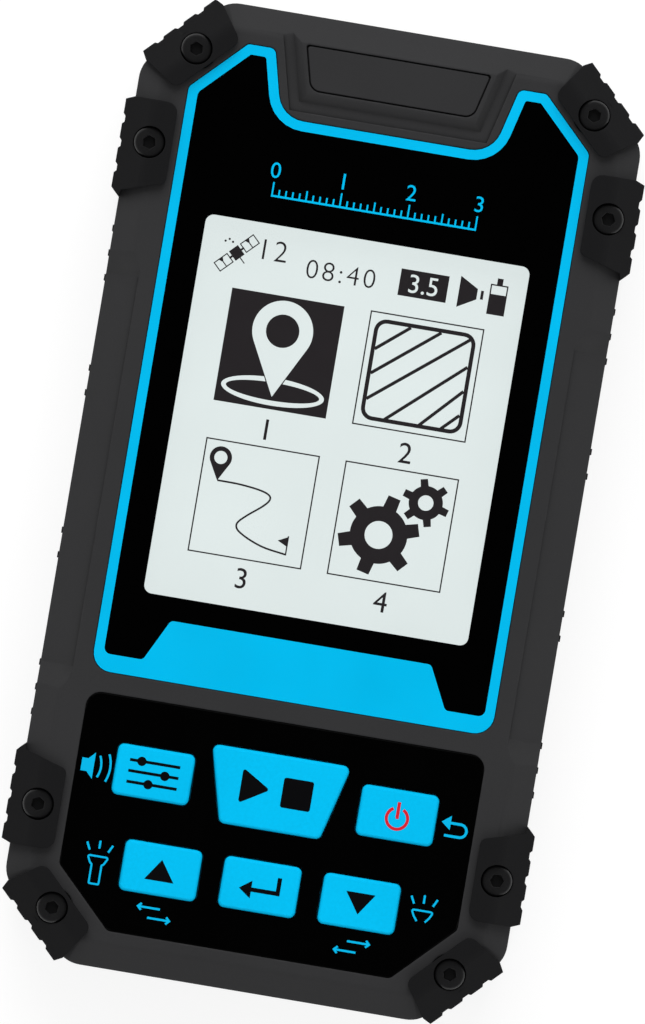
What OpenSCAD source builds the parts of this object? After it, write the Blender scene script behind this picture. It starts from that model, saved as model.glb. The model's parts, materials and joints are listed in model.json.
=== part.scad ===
// Handheld satellite land area meter, lying on its back with the display facing up.
// Origin: centre of the outline, on the plane of the rear bumper pads. +Z out of the display,
// +Y towards the antenna end, +X to the right of a reader. Sizes are in millimetres.

// The width and the length follow from the screen, the keypad and the borders round them.

/* [Housing] */
// Depth from the rear face to the front face
body_d = 25; // [24.5:0.5:28]
// Length cut off each corner, along either side
corner_cut = 11; // [10:0.25:12]
// Radius of the upright edges beside the corner cuts
corner_r = 4.7; // [3:0.1:6]
// Width of the slope along the sides
bevel_side = 3.6; // [3:0.1:4.2]
// Width of the slope along the two ends
bevel_end = 3.8; // [3:0.1:4.4]
// Width of the slope along the corner cuts
bevel_corner = 3.8; // [3:0.1:4.2]
// How far the slopes fall below the faces
bevel_drop = 2.6; // [2:0.1:2.8]
// Radius of the fold between a face and its slopes
fold_r = 1.5; // [0.6:0.1:3]
// Thickness of the side, end and rear walls
wall = 2.4; // [2.2:0.1:2.8]
// Thickness of the front wall, which carries the lens and the keys
front_wall = 2.9; // [2.7:0.1:3.2]
// Height of the parting plane above the rear face
parting_h = 15.3; // [15.2:0.1:16]
// Depth and height of the shadow line at the parting plane
reveal = 0.3; // [0.2:0.05:0.5]

/* [Grip] */
// Length of the thumb recess in each long side
grip_l = 63.8; // [50:0.1:65]
// Distance of the recess's centre above the middle of the housing
grip_up = 0.5; // [-1:0.1:1]
// Distance of the recess's inner edge from the side
grip_in = 4.85; // [4.2:0.05:5.2]
// Depth of the step at the recess's inner edge
grip_step = 0.35; // [0.2:0.05:0.6]
// How much deeper than the slope the recess ends at the side
grip_extra = 1.1; // [0.6:0.1:1.6]
// Length of the ramp at each end of the recess
grip_ramp = 3.2; // [1.5:0.1:5]
// Width of one grip rib
rib_w = 0.9; // [0.6:0.1:1.2]
// Height of a grip rib above the side
rib_h = 0.2; // [0.1:0.05:0.3]
// Distance from rib to rib in a group
rib_pitch = 3.65; // [3:0.05:4]
// Distance of the end groups of ribs from the middle
rib_end_y = 32.1; // [28:0.1:33]
// Half the distance between the two inner groups of ribs
rib_mid_y = 12; // [10:0.1:16]
// Distance of the inner groups' centre above the middle
rib_mid_up = 1.25; // [0:0.05:2]

/* [Antenna hump] */
// Height of the hump's plateau above the front face
hump_h = 0.25; // [0.2:0.05:0.5]
// Distance of the channel round the hump from each side of the housing, at its lower edge
hump_side = 22.45; // [22:0.05:23.5]
// Length of the hump and its channel from the antenna end
hump_l = 14.2; // [13.6:0.1:14.6]
// Lean of the hump's sides away from the long axis, in degrees
hump_lean = 14; // [10:0.5:16]
// Distance of the plateau from the channel's outer edge
hump_run = 2.6; // [2.2:0.1:2.8]
// Width of the channel's floor
channel_w = 1.5; // [1.2:0.1:1.7]
// Depth of the channel at its outer edge
channel_step = 0.25; // [0.15:0.05:0.35]
// Depth of the channel along the hump's foot
channel_drop = 0.55; // [0.45:0.05:0.7]
// Thickness of the inlaid plate
plate_t = 0.6; // [0.5:0.1:1]
// Border of the plateau round the inlaid plate
plate_margin = 0.8; // [0.6:0.1:1]

/* [Display] */
// Distance of the lens from each side of the housing
lens_side = 7.45; // [7.3:0.05:8]
// Distance of the lens and the keypad from the ends of the housing
panel_end = 5.7; // [5.4:0.1:6]
// Distance of the lens from the corner cuts of the housing
lens_corner = 6.86; // [6.7:0.02:7.2]
// Radius of the lens's lower corners
lens_r = 2.85; // [2:0.05:4]
// Distance between the hump's foot and the notch in the lens
notch_gap = 1.3; // [1:0.1:1.4]
// Radius inside the notch
notch_r = 4.2; // [3:0.1:5]
// Thickness of the lens
lens_t = 1.3; // [1:0.1:1.4]
// Thickness of the adhesive tape under the lens
tape_t = 0.2; // [0.1:0.05:0.25]
// Width of the visible screen
screen_w = 47.8; // [43:0.1:53]
// Height of the visible screen
screen_h = 55.9; // [50:0.1:62]
// Distance from the top of the lens to the top of the screen
screen_drop = 25.3; // [23:0.1:28]
// Distance from the bottom of the screen to the bottom of the lens
screen_foot = 12.3; // [11:0.1:14]
// Distance from the screen to each side of the lens
screen_side = 5.65; // [5:0.05:6.5]
// Border of the screen's glass at each side of the screen
glass_side = 3.1; // [2.6:0.1:3.4]
// Border of the screen's glass above the screen
glass_top = 3.5; // [2.8:0.1:4]
// Border of the screen's glass below the screen
glass_bottom = 6.6; // [5:0.1:7]
// Thickness of the screen's glass
glass_t = 1.8; // [1.6:0.1:2]
// Thickness of the light panel behind the glass
light_t = 2.6; // [2:0.1:2.8]
// Thickness of the foam seal in front of the glass
foam_t = 0.5; // [0.3:0.1:0.6]

/* [Keypad] */
// Distance of the keypad plate from each side of the housing
pad_side = 7.7; // [7.5:0.05:8.2]
// Distance of the keypad plate from the corner cuts
pad_corner = 7.7; // [7.4:0.05:8]
// Height of the keypad plate
pad_h = 34; // [31:0.1:38]
// Strip of housing between the lens and the keypad plate
pad_gap = 3.1; // [2.6:0.1:3.4]
// Thickness of the keypad plate
pad_t = 0.8; // [0.6:0.1:1]
// Width of a rectangular key
key_w = 11.35; // [10.6:0.05:11.6]
// Height of a rectangular key
key_h = 7.5; // [7:0.1:8]
// Radius of a key's corners
key_r = 0.9; // [0.5:0.1:1.4]
// Space between the top of the large key and the keys beside it
key_gap_upper = 2.03; // [1.9:0.01:2.6]
// Space between the keys of the lower row
key_gap_lower = 3.3; // [2:0.05:4]
// Distance of the upper row of keys below the plate's top edge
key_upper_drop = 10.5; // [10:0.1:10.8]
// Distance of the lower row of keys below the plate's top edge
key_lower_drop = 24.1; // [23.4:0.1:24.4]
// Distance of the large key's centre above the centres of the keys beside it
wide_key_up = 0.25; // [0:0.05:0.6]
// Height of the large middle key
wide_key_h = 11.2; // [10:0.1:11.6]
// Width of the large middle key at its top
wide_key_top = 20.6; // [18:0.1:20.8]
// Width of the large middle key at its bottom
wide_key_bottom = 14.8; // [12:0.1:17]
// Height of the keys above the front face
key_rise = 0.6; // [0.4:0.1:1]
// Travel of a key
key_travel = 0.6; // [0.4:0.05:0.7]
// Width of the flange that keeps a key in
key_flange = 0.7; // [0.5:0.05:0.75]
// Height of a silicone dome when its key is pressed
dome_pressed = 1.6; // [1.3:0.1:1.9]

/* [Bumpers] */
// Thickness of the bumpers over the housing
bumper_t = 1.3; // [1:0.1:1.5]
// Length of a bumper along its outer edge
bumper_l = 13; // [12:0.1:13.4]
// Distance from the start of a corner cut to the side bumper beside it
bumper_gap = 5.4; // [4.6:0.1:7]
// Distance of a side bumper's screw from the bumper's centre
side_screw_up = 0.7; // [0:0.1:1.5]
// Reach of a side bumper over the face
side_reach = 6.45; // [6.2:0.05:6.6]
// Reach of a corner bumper over the face
corner_reach = 5.95; // [5.6:0.05:6.1]
// Depth of the grooves across a bumper's outer wall
groove_d = 0.33; // [0.2:0.01:0.45]
// Width of one groove
groove_w = 1.45; // [1:0.05:1.8]
// Distance from groove to groove
groove_pitch = 3.6; // [3.2:0.05:3.8]

/* [Fasteners] */
// Diameter of a bumper screw's head
head_dia = 4.5; // [4.2:0.1:4.7]
// Height of a bumper screw's head
head_h = 1.4; // [1.2:0.1:1.6]
// Diameter of a bumper screw's shank
shank_dia = 2.5; // [2:0.1:2.6]
// Length of a bumper screw's shank
shank_l = 12; // [11:0.5:13.5]
// Distance of the side screws from the side of the housing
side_screw_in = 3.15; // [3.1:0.05:3.4]
// Distance of the corner screws from the corner cut
corner_screw_in = 3.05; // [3.05:0.05:3.4]
// Outer diameter of a threaded insert
insert_dia = 3.6; // [3.2:0.1:3.6]
// Length of a threaded insert
insert_l = 4; // [3:0.5:6]

/* [Battery] */
// Width of the battery
battery_w = 44; // [40:0.5:45]
// Length of the battery
battery_l = 60; // [54:0.5:61]
// Depth of the battery
battery_d = 8; // [6:0.1:8.2]
// Distance of the battery's centre below the middle of the housing
battery_down = 3; // [1:0.5:4]
// Thickness of the battery cover
cover_t = 1.6; // [1.4:0.1:1.8]
// Lap of the battery cover beyond the sides of the bay
cover_side = 4.5; // [4.2:0.1:5]
// Lap of the battery cover beyond the ends of the bay
cover_end = 5.5; // [5:0.1:6]
// Distance of the foam pad's edge inside the battery's edge
foam_in = 8; // [4:0.5:12]

/* [Inside] */
// Distance of the main board's edge from the sides of the housing
board_side = 6.8; // [6.6:0.1:8]
// Distance of the main board's edge from the ends of the housing
board_end = 5; // [4.8:0.1:7]
// Distance of the main board's edge from the corner cuts
board_corner = 8.5; // [8:0.1:10]
// Thickness of the main board
board_t = 1.6; // [1.2:0.1:1.6]
// Side of the square satellite antenna
patch_w = 18; // [15:0.5:18.5]
// Thickness of the satellite antenna
patch_t = 4; // [3:0.1:4.5]
// Width of the receiver's shield
shield_w = 16; // [12:0.5:18]
// Length of the receiver's shield
shield_l = 12; // [10:0.5:14]
// Height of the receiver's shield
shield_h = 2.4; // [1.6:0.1:3]
// Side of the square processor
processor_w = 14; // [10:0.5:15]
// Height of the processor
processor_h = 1.4; // [0.8:0.1:1.6]
// Diameter of the loudspeaker
speaker_dia = 18; // [15:0.5:19]
// Radius of the torch lens
torch_r = 4.2; // [3.6:0.1:4.4]
// Width of the lamp's diffuser
lamp_w = 13; // [10:0.5:14]
// Height of the lamp's diffuser
lamp_h = 5.6; // [4.6:0.1:6]
// Sideways distance of the torch and of the lamp from the middle
light_x = 8.5; // [8:0.1:9]
// Height of the lights' axes above the rear face
light_h = 8.2; // [8.1:0.1:8.4]
// Depth from the end wall's outer face to the light board
light_in = 9.4; // [8.5:0.1:10]
// Width of the light board
light_board_w = 32; // [30:0.5:33]
// Width of the port cover
port_w = 14; // [12:0.5:16]
// Height of the port cover
port_h = 6.6; // [6.2:0.1:6.8]

/* [Clearances] */
// Gap round pieces that don't move
fit_gap = 0.1; // [0.05:0.01:0.15]
// Gap round the keys and the port cover
move_gap = 0.2; // [0.15:0.01:0.25]

/* [Hidden] */

$fn = 48;

// Colours of the finishes
housing_grey = "#333333";
rubber_black = "#1e1e1e";
panel_black = "#0b0b0c";
key_blue = "#00b4ec";
screen_grey = "#dfe9e6";
board_green = "#1f5a3a";
steel_grey = "#9a9da0";
dark_steel = "#2a2a2b";
brass_yellow = "#c0a050";
silicone_white = "#d9dbdc";

// Planes of the housing
half_w = screen_w / 2 + screen_side + lens_side;
half_l = (screen_drop + screen_h + screen_foot + pad_gap + pad_h) / 2 + panel_end;
corner_sum = half_w + half_l - corner_cut;
rear_z = bumper_t;
front_z = rear_z + body_d;
part_z = rear_z + parting_h;
floor_z = rear_z + wall;
roof_z = front_z - front_wall;
slope_z = front_z - bevel_drop;
reach = 100;
over = 1;

// Hump and its inlaid plate
hump_w = 2 * (half_w - hump_side);
foot_y = half_l - hump_l;
plateau_y0 = foot_y + hump_run;
end_fall = bevel_drop / bevel_end;
plateau_y1 = half_l - bevel_end - hump_h / end_fall;
plateau_z = front_z + hump_h;
plate_r = 1.6;
plate_end = 0.35;

// Lens, screen and keypad plate
lens_hw = half_w - lens_side;
lens_top = half_l - panel_end;
pad_hw = half_w - pad_side;
pad_bottom = panel_end - half_l;
pad_top = pad_bottom + pad_h;
lens_bottom = pad_top + pad_gap;
lens_sink = 0.1;
lens_z1 = front_z - lens_sink;
lens_z0 = lens_z1 - lens_t;
shelf_z = lens_z0 - tape_t;
tape_w = 1.6;
screen_y = lens_top - screen_drop - screen_h / 2;
screen_r = 1.2;
shelf_margin = 1.2;
glass_hw = screen_w / 2 + glass_side;
glass_hl = (screen_h + glass_top + glass_bottom) / 2;
glass_y = screen_y + (glass_top - glass_bottom) / 2;
glass_z1 = roof_z - foam_t;
glass_z0 = glass_z1 - glass_t;
light_z0 = glass_z0 - light_t;

// Boards
board_sink = 0.4;
board_z1 = part_z - board_sink;
board_z0 = board_z1 - board_t;
board_hw = half_w - board_side;
board_hl = half_l - board_end;
board_sum = corner_sum - board_corner * sqrt(2);
frame_wall = 1.5;
frame_lip = 5;
flex_w = 20;
flex_t = 0.2;
flex_y = glass_y - glass_hl - fit_gap - frame_wall - 0.8;
connector_h = 1.2;
connector_d = 2.4;

// Keys: place of each centre, by number
key_upper_x = (wide_key_top + key_w) / 2 + key_gap_upper;
key_lower_x = key_w + key_gap_lower;
wide_key_y = pad_top - key_upper_drop + wide_key_up;
KEY_X = [-key_upper_x, 0, key_upper_x, -key_lower_x, 0, key_lower_x];
KEY_Y = [pad_top - key_upper_drop, wide_key_y, pad_top - key_upper_drop,
    pad_top - key_lower_drop, pad_top - key_lower_drop, pad_top - key_lower_drop];
key_z1 = front_z + key_rise;
flange_t = 0.8;
flange_z1 = roof_z - 0.75 * move_gap;
flange_z0 = flange_z1 - flange_t;
dome_touch = 0.05;
dome_h = dome_pressed + key_travel;
dome_r = 3.2;
pad_board_z1 = flange_z0 - dome_touch - dome_h;
pad_board_t = 1.2;
pad_board_z0 = pad_board_z1 - pad_board_t;
pad_board_top = pad_top - 0.4;
pad_board_bottom = KEY_Y[3] - key_h / 2 - 0.85;
pad_plug = [16, 4];
pad_plug_in = 4;
pad_post_r = 2;
pad_post_in = 2.5;
pad_post_x = [pad_hw - pad_post_in, key_lower_x + key_w / 2 + key_flange + pad_post_r + 1.6];
pad_post_y = [pad_top - pad_post_in, KEY_Y[3] - 2];

// Bumper screws and what they pass through
screw_x = [half_w - side_screw_in, 0];
corner_mid = [half_w - corner_cut / 2, half_l - corner_cut / 2];
corner_screw = corner_mid - [corner_screw_in, corner_screw_in] / sqrt(2);
bumper_y = half_l - corner_cut - bumper_gap - bumper_l / 2;
screw_y = bumper_y + side_screw_up;
cup_r = head_dia / 2 + fit_gap;
cup_wall = 0.6;
cup_floor = 1.9;
spot_z = slope_z - 0.2;
cup_z = spot_z + cup_floor;
boss_r = cup_r + cup_wall + 0.45;
rear_boss_r = insert_dia / 2 + 0.9;
insert_z0 = part_z - insert_l;
socket_w = 1.5 / cos(30);
socket_h = 0.8;

// Self-tapping screws
tap_r = 1;
tap_head_r = 1.9;
tap_head_h = 1.2;
tap_l = 4.5;
tap_slot = [2.2, 0.5];
cover_head_h = 0.8;
post_r = 2.2;
post_in = 3.2;
shield_gap = 1.1;
board_post = [
    [board_hw - post_in, glass_y + glass_hl + frame_wall + 3.4],
    [board_hw - post_in, glass_y - glass_hl - frame_wall - 4.4],
    [board_hw / 2, post_r - board_hl]];

// Battery bay
bay_gap = 0.5;
bay_hw = battery_w / 2 + bay_gap;
bay_hl = battery_l / 2 + bay_gap;
bay_y = -battery_down;
bay_wall = 1.4;
cover_hw = bay_hw + cover_side;
cover_hl = bay_hl + cover_end;
cover_r = 4;
ledge_w = 2;
cover_z1 = rear_z + cover_t;
foam_pad_t = 0.6;
battery_z0 = cover_z1 + foam_pad_t;
battery_z1 = battery_z0 + battery_d;
bay_z1 = battery_z1 + 0.3;
ledge_z = cover_z1 + 2.4;
seal_w = 1;
seal_h = 0.8;
seal_in = 0.6;
cover_screw = [cover_hw - 2.6, cover_hl - 2.6];
contact_w = 14;
contact_d = 3.2;
contact_h = 5;
contact_z0 = battery_z0 + 3;

// Torch, lamp and their board
light_board_t = 1.2;
light_board_y = half_l - light_in - light_board_t;
light_board_hw = light_board_w / 2;
light_z = rear_z + light_h;
light_board_z0 = floor_z + fit_gap;
light_board_z1 = light_z + torch_r + 0.1;
window_t = 1.2;
window_set = 0.05;
inner_end_y = half_l - wall;
lamp_r = 2.2;

// Socket and its hinged cover
usb_w = 8.94;
usb_h = 3.2;
usb_l = 7.3;
usb_z = board_z0 - usb_h / 2;
port_t = 1.5;
port_drop = 1.7;
port_notch = 0.6;
port_pad_t = 2;
port_floor_y = -half_l + port_t + fit_gap;
port_z0 = part_z - port_drop - port_h;
hinge_r = port_t / 2;
hinge_z = port_z0 + hinge_r;
hinge_y = -half_l + hinge_r;
usb_y0 = port_floor_y + fit_gap;

// Loudspeaker
speaker_t = 4.5;
speaker_ring_w = 1.4;
speaker_y = bay_y + cover_hl + ledge_w + speaker_dia / 2 + speaker_ring_w + 0.6;

// Seal between the two shells
gasket_in = 0.4;
gasket_w = 0.6;
gasket_h = 0.9;

// Plane geometry

function unit(v) = v / norm(v);
function turned(v, a) = [v[0] * cos(a) - v[1] * sin(a), v[0] * sin(a) + v[1] * cos(a)];
function xy(row) = [row[0], row[1]];

// Points along the arc that rounds corner p, between its neighbours a and b
function corner_arc(a, p, b, r, steps) =
    let (u = unit(a - p), w = unit(b - p), half = acos(u * w) / 2)
    let (centre = p + unit(u + w) * (r / sin(half)), start = p + u * (r / tan(half)) - centre)
    let (sense = u[0] * w[1] - u[1] * w[0] > 0 ? -1 : 1, sweep = sense * (180 - 2 * half))
    [for (k = [0:steps]) centre + turned(start, sweep * k / steps)];

// Outline of a polygon whose rows are [x, y, corner radius], counterclockwise
function rounded(rows, steps = 6) =
    let (n = len(rows))
    [for (i = [0:n - 1])
        each rows[i][2] < 0.01 ? [xy(rows[i])]
        : corner_arc(xy(rows[(i + n - 1) % n]), xy(rows[i]), xy(rows[(i + 1) % n]), rows[i][2], steps)];

// Rectangle with half sides hw and hl, centred on [x, y]
function slab_rows(hw, hl, r, x = 0, y = 0) =
    [[x + hw, y - hl, r], [x + hw, y + hl, r], [x - hw, y + hl, r], [x - hw, y - hl, r]];

// Octagon with half sides hw and hl whose corners are cut where |x| + |y| = s
function octagon_rows(hw, hl, s, r) = [
    [hw, s - hw, r], [s - hl, hl, r], [hl - s, hl, r], [-hw, s - hw, r],
    [-hw, hw - s, r], [hl - s, -hl, r], [s - hl, -hl, r], [hw, hw - s, r]];

// Plan of the housing, grown by g
function body_outline(g) =
    rounded(octagon_rows(half_w + g, half_l + g, corner_sum + g * sqrt(2), corner_r + g));

// Half width of the hump's foot at height y, moved out by m
function hump_half(y, m) = hump_w / 2 + (y - foot_y) * tan(hump_lean) + m / cos(hump_lean);

// Trapezoid that follows the hump's sides from y0 up to y1
function hump_rows(y0, y1, m, r0, r1) = [
    [hump_half(y0, m), y0, r0], [hump_half(y1, m), y1, r1],
    [-hump_half(y1, m), y1, r1], [-hump_half(y0, m), y0, r0]];

// Outline of the lens, grown by g
function lens_outline(g) =
    let (s = corner_sum - lens_corner * sqrt(2) + g * sqrt(2), hw = lens_hw + g, y1 = lens_top + g)
    let (m = notch_gap - g, yn = foot_y - m, x1 = hump_half(y1, m), xn = hump_half(yn, m))
    rounded([
        [-hw, lens_bottom - g, lens_r + g], [hw, lens_bottom - g, lens_r + g],
        [hw, s - hw, 1.2], [s - y1, y1, 0.8 + g], [x1, y1, 1 + g], [xn, yn, notch_r - g],
        [-xn, yn, notch_r - g], [-x1, y1, 1 + g], [y1 - s, y1, 0.8 + g], [-hw, s - hw, 1.2]]);

// Outline of the keypad plate, grown by g
function pad_outline(g) =
    let (s = corner_sum - pad_corner * sqrt(2) + g * sqrt(2), hw = pad_hw + g, y0 = pad_bottom - g)
    rounded([
        [hw, -s + hw, 1.2], [hw, pad_top + g, 2.1 + g], [-hw, pad_top + g, 2.1 + g],
        [-hw, -s + hw, 1.2], [-s - y0, y0, 1.2], [s + y0, y0, 1.2]]);

// Key 1 is the large middle key
function is_wide(i) = i == 1;

// Outline of key i, grown by g
function key_outline(i, g) =
    let (x = KEY_X[i], y = KEY_Y[i], h = wide_key_h / 2 + g)
    let (lean = atan((wide_key_top - wide_key_bottom) / 2 / wide_key_h), m = g / cos(lean))
    let (mid = (wide_key_top + wide_key_bottom) / 4 + m)
    is_wide(i)
    ? rounded([[mid - h * tan(lean), y - h, key_r + g], [mid + h * tan(lean), y + h, key_r + g],
        [-mid - h * tan(lean), y + h, key_r + g], [-mid + h * tan(lean), y - h, key_r + g]], 4)
    : rounded(slab_rows(key_w / 2 + g, key_h / 2 + g, key_r + g, x, y), 4);

// Upright prism of a plan between two heights
module prism(points, z0, z1) {
    translate([0, 0, z0]) linear_extrude(z1 - z0) polygon(points);
}

// Upright post or hole
module post(p, r, z0, z1) {
    translate([p[0], p[1], z0]) cylinder(r = r, h = z1 - z0);
}

// A child drawn on both sides of the long axis
module both_sides() {
    children();
    mirror([1, 0, 0]) children();
}

// The eight places of the bumper screws
module at_bumper_screws() {
    for (sx = [-1, 1], sy = [-1, 1]) {
        translate([sx * screw_x[0], sy * screw_y, 0]) children();
        translate([sx * corner_screw[0], sy * corner_screw[1], 0]) children();
    }
}

// Housing form

// Bar of the full depth whose two long edges slope, across a span of 2 * half_span
module bevel_bar(half_span, run, g) {
    fall = bevel_drop / run;
    fold = half_span - run + g * tan(atan(fall) / 2);
    far = half_span + 4;
    drop = (far - fold) * fall;
    r = max(fold_r + g, 0.2);
    rotate([90, 0, 0])
        linear_extrude(2 * reach, center = true)
            polygon(rounded([
                [far, rear_z - g + drop, 0], [far, front_z + g - drop, 0],
                [fold, front_z + g, r], [-fold, front_z + g, r],
                [-far, front_z + g - drop, 0], [-far, rear_z - g + drop, 0],
                [-fold, rear_z - g, r], [fold, rear_z - g, r]], 3));
}

// Faces and slopes of the housing grown by g, without its upright walls
module sloped_core(g) {
    diagonal = corner_sum / sqrt(2);
    intersection() {
        bevel_bar(half_w, bevel_side, g);
        rotate([0, 0, 90]) bevel_bar(half_l, bevel_end, g);
        rotate([0, 0, 45]) bevel_bar(diagonal, bevel_corner, g);
        rotate([0, 0, -45]) bevel_bar(diagonal, bevel_corner, g);
    }
}

// Whole closed form of the housing, grown by g
module housing_form(g) {
    intersection() {
        sloped_core(g);
        prism(body_outline(g), rear_z - g - over, front_z + g + over);
    }
}

// Room inside both shells
module housing_room() {
    intersection() {
        sloped_core(-wall);
        prism(body_outline(-wall), floor_z, roof_z);
    }
}

// Profile drawn out along the right side of the hump, outwards from the channel's outer edge
module along_side(rows) {
    translate([hump_w / 2, foot_y, 0])
        rotate([0, 0, -hump_lean])
            rotate([90, 0, 0])
                linear_extrude(4 * hump_w, center = true) polygon(rows);
}

// Profile drawn out across the hump, over y and z
module along_foot(rows) {
    rotate([90, 0, 90])
        linear_extrude(2 * hump_w, center = true) polygon(rows);
}

// Pocket round the hump: its floor falls from the outer edge towards the hump's foot
module hump_pocket() {
    deep = channel_drop + 0.1;
    fall = (channel_drop - channel_step) / channel_w;
    w = (deep - channel_step) / fall;
    z0 = front_z - deep;
    z1 = front_z - channel_step;
    z2 = front_z + over;
    side = [[0, z1], [0, z2], [-2 * hump_w, z2], [-2 * hump_w, z0], [-w, z0]];
    intersection() {
        along_foot([
            [foot_y, z1], [foot_y + w, z0], [half_l + over, z0],
            [half_l + over, z2], [foot_y, z2]]);
        along_side(side);
        mirror([1, 0, 0]) along_side(side);
    }
}

// Hump over the antenna: it rises out of the channel and ends in the plane of the housing's end slope
module hump() {
    low = channel_drop + 0.4;
    rise = (hump_h + channel_drop) / (hump_run - channel_w);
    w = hump_run - (hump_h + low) / rise;
    z0 = front_z - low;
    side = [[-w, z0], [-hump_run, plateau_z], [-2 * hump_w, plateau_z], [-2 * hump_w, z0]];
    intersection() {
        along_foot([
            [foot_y + w, z0], [half_l - bevel_end + low / end_fall, z0],
            [plateau_y1, plateau_z], [plateau_y0, plateau_z]]);
        along_side(side);
        mirror([1, 0, 0]) along_side(side);
    }
}

// Thumb recess along the right side of the front face: a sloping floor that ramps up at both ends
module grip_recess() {
    y1 = grip_l / 2;
    x1 = half_w - grip_in;
    lean = atan((bevel_drop + grip_extra - grip_step) / grip_in);
    h = 6;
    run = h * grip_ramp / (grip_extra * cos(lean));
    intersection() {
        translate([x1, -reach / 2, front_z - 2 * bevel_drop]) cube([2 * grip_in, reach, 4 * bevel_drop]);
        translate([x1, grip_up, front_z - grip_step])
            rotate([0, lean, 0])
                rotate([90, 0, 90])
                    linear_extrude(4 * grip_in, center = true)
                        polygon([
                            [grip_ramp - y1, 0], [y1 - grip_ramp, 0],
                            [y1 - grip_ramp + run, h], [grip_ramp - y1 - run, h]]);
    }
}

// Grip ribs on the right side between two heights
module grip_ribs(z0, z1) {
    for (s = [-1, 1]) {
        for (k = [-1:1]) rib_at(s * (rib_end_y + k * rib_pitch), z0, z1);
        for (k = [-0.5, 0.5]) rib_at(rib_mid_up + s * (rib_mid_y + k * rib_pitch), z0, z1);
    }
}

module rib_at(y, z0, z1) {
    translate([half_w - 0.5, y - rib_w / 2, z0]) cube([0.5 + rib_h, rib_w, z1 - z0]);
}

// Shells

module front_housing() {
    rib_z1 = slope_z - grip_extra - 0.4;
    color(housing_grey)
        difference() {
            union() {
                difference() {
                    intersection() {
                        prism(body_outline(0), part_z, plateau_z + over);
                        union() {
                            difference() {
                                sloped_core(0);
                                hump_pocket();
                            }
                            hump();
                        }
                    }
                    housing_room();
                    both_sides() grip_recess();
                }
                both_sides() grip_ribs(part_z + reveal, rib_z1);
                intersection() {
                    at_bumper_screws() cylinder(r = boss_r, h = spot_z);
                    prism(body_outline(-wall / 2), part_z, spot_z);
                }
                both_sides() {
                    for (p = board_post) post(p, post_r, board_z1, roof_z + 0.5);
                    for (k = [0, 1]) {
                        post([pad_post_x[k], pad_post_y[k]], pad_post_r, pad_board_z1, roof_z + 0.5);
                    }
                }
            }
            parting_shadow();
            prism(plate_outline(fit_gap * 2), plateau_z - plate_t, plateau_z + over);
            prism(lens_outline(fit_gap), shelf_z, plateau_z + over);
            prism(screen_opening(), roof_z - over, shelf_z + over);
            prism(pad_outline(fit_gap), front_z - pad_t, front_z + over);
            for (i = [0:5]) prism(key_outline(i, move_gap), roof_z - over, front_z + over);
            at_bumper_screws() {
                translate([0, 0, spot_z]) cylinder(r = cup_r + cup_wall + fit_gap, h = 2 * bevel_drop);
                cylinder(r = shank_dia / 2 + 0.15, h = front_z);
            }
            both_sides() {
                for (p = board_post) post(p, tap_r - 0.2, board_z1 - over, board_z1 + tap_l);
                for (k = [0, 1]) {
                    post([pad_post_x[k], pad_post_y[k]], tap_r - 0.2, pad_board_z1 - over, roof_z + 0.9);
                }
            }
        }
}

// Narrow step round the front shell just above the parting plane
module parting_shadow() {
    difference() {
        prism(body_outline(over), part_z - over, part_z + reveal);
        prism(body_outline(-reveal), part_z - 2 * over, part_z + reveal + over);
    }
}

function screen_opening() =
    rounded(slab_rows(screen_w / 2 + shelf_margin, screen_h / 2 + shelf_margin, screen_r, 0, screen_y));

module rear_housing() {
    rib_z0 = rear_z + bevel_drop + grip_extra + 0.4;
    color(housing_grey)
        difference() {
            union() {
                difference() {
                    intersection() {
                        sloped_core(0);
                        prism(body_outline(0), rear_z - over, part_z);
                    }
                    housing_room();
                    both_sides() translate([0, 0, rear_z + front_z]) mirror([0, 0, 1]) grip_recess();
                }
                both_sides() grip_ribs(rib_z0, part_z);
                intersection() {
                    at_bumper_screws() translate([0, 0, floor_z - 0.5]) cylinder(r = rear_boss_r, h = reach);
                    prism(body_outline(-wall / 2), rear_z + bevel_drop / 2, part_z);
                }
                battery_bay_walls();
                speaker_ring();
                light_board_guides();
                port_pad();
            }
            at_bumper_screws() {
                translate([0, 0, insert_z0]) cylinder(r = insert_dia / 2 + 0.02, h = reach);
                translate([0, 0, insert_z0 - 2.5]) cylinder(r = shank_dia / 2 + 0.1, h = reach);
            }
            seal_groove();
            battery_bay_room();
            sound_holes();
            light_windows();
            port_recess();
        }
}

// Walls that divide the battery from the electronics, and the ledge of its cover
module battery_bay_walls() {
    bay_r = 2;
    prism(rounded(slab_rows(bay_hw + bay_wall, bay_hl + bay_wall, bay_r, 0, bay_y)),
        rear_z + 1, bay_z1 + bay_wall);
    prism(rounded(slab_rows(cover_hw + ledge_w, cover_hl + ledge_w, cover_r + ledge_w, 0, bay_y)),
        rear_z + 1, ledge_z);
    for (sy = [-1, 1]) {
        both_sides() post([cover_screw[0], bay_y + sy * cover_screw[1]], post_r, rear_z + 1, ledge_z + 4);
    }
}

module battery_bay_room() {
    prism(rounded(slab_rows(bay_hw, bay_hl, 1, 0, bay_y)), rear_z - over, bay_z1);
    prism(rounded(slab_rows(cover_hw + fit_gap, cover_hl + fit_gap, cover_r + fit_gap, 0, bay_y)),
        rear_z - over, cover_z1);
    difference() {
        prism(seal_outline(seal_in + seal_w + 0.05), rear_z, cover_z1 + seal_h);
        prism(seal_outline(seal_in - 0.05), rear_z - over, cover_z1 + seal_h + over);
    }
    for (sy = [-1, 1]) {
        both_sides() post([cover_screw[0], bay_y + sy * cover_screw[1]], tap_r - 0.2, rear_z, ledge_z + 3);
    }
    translate([-contact_w / 2 - fit_gap, bay_y - bay_hl - bay_wall - over, contact_z0 - fit_gap])
        cube([contact_w + 2 * fit_gap, bay_wall + 2 * over, contact_h + 2 * fit_gap]);
}

function seal_outline(m) = rounded(slab_rows(bay_hw + m, bay_hl + m, 1 + m, 0, bay_y));

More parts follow.
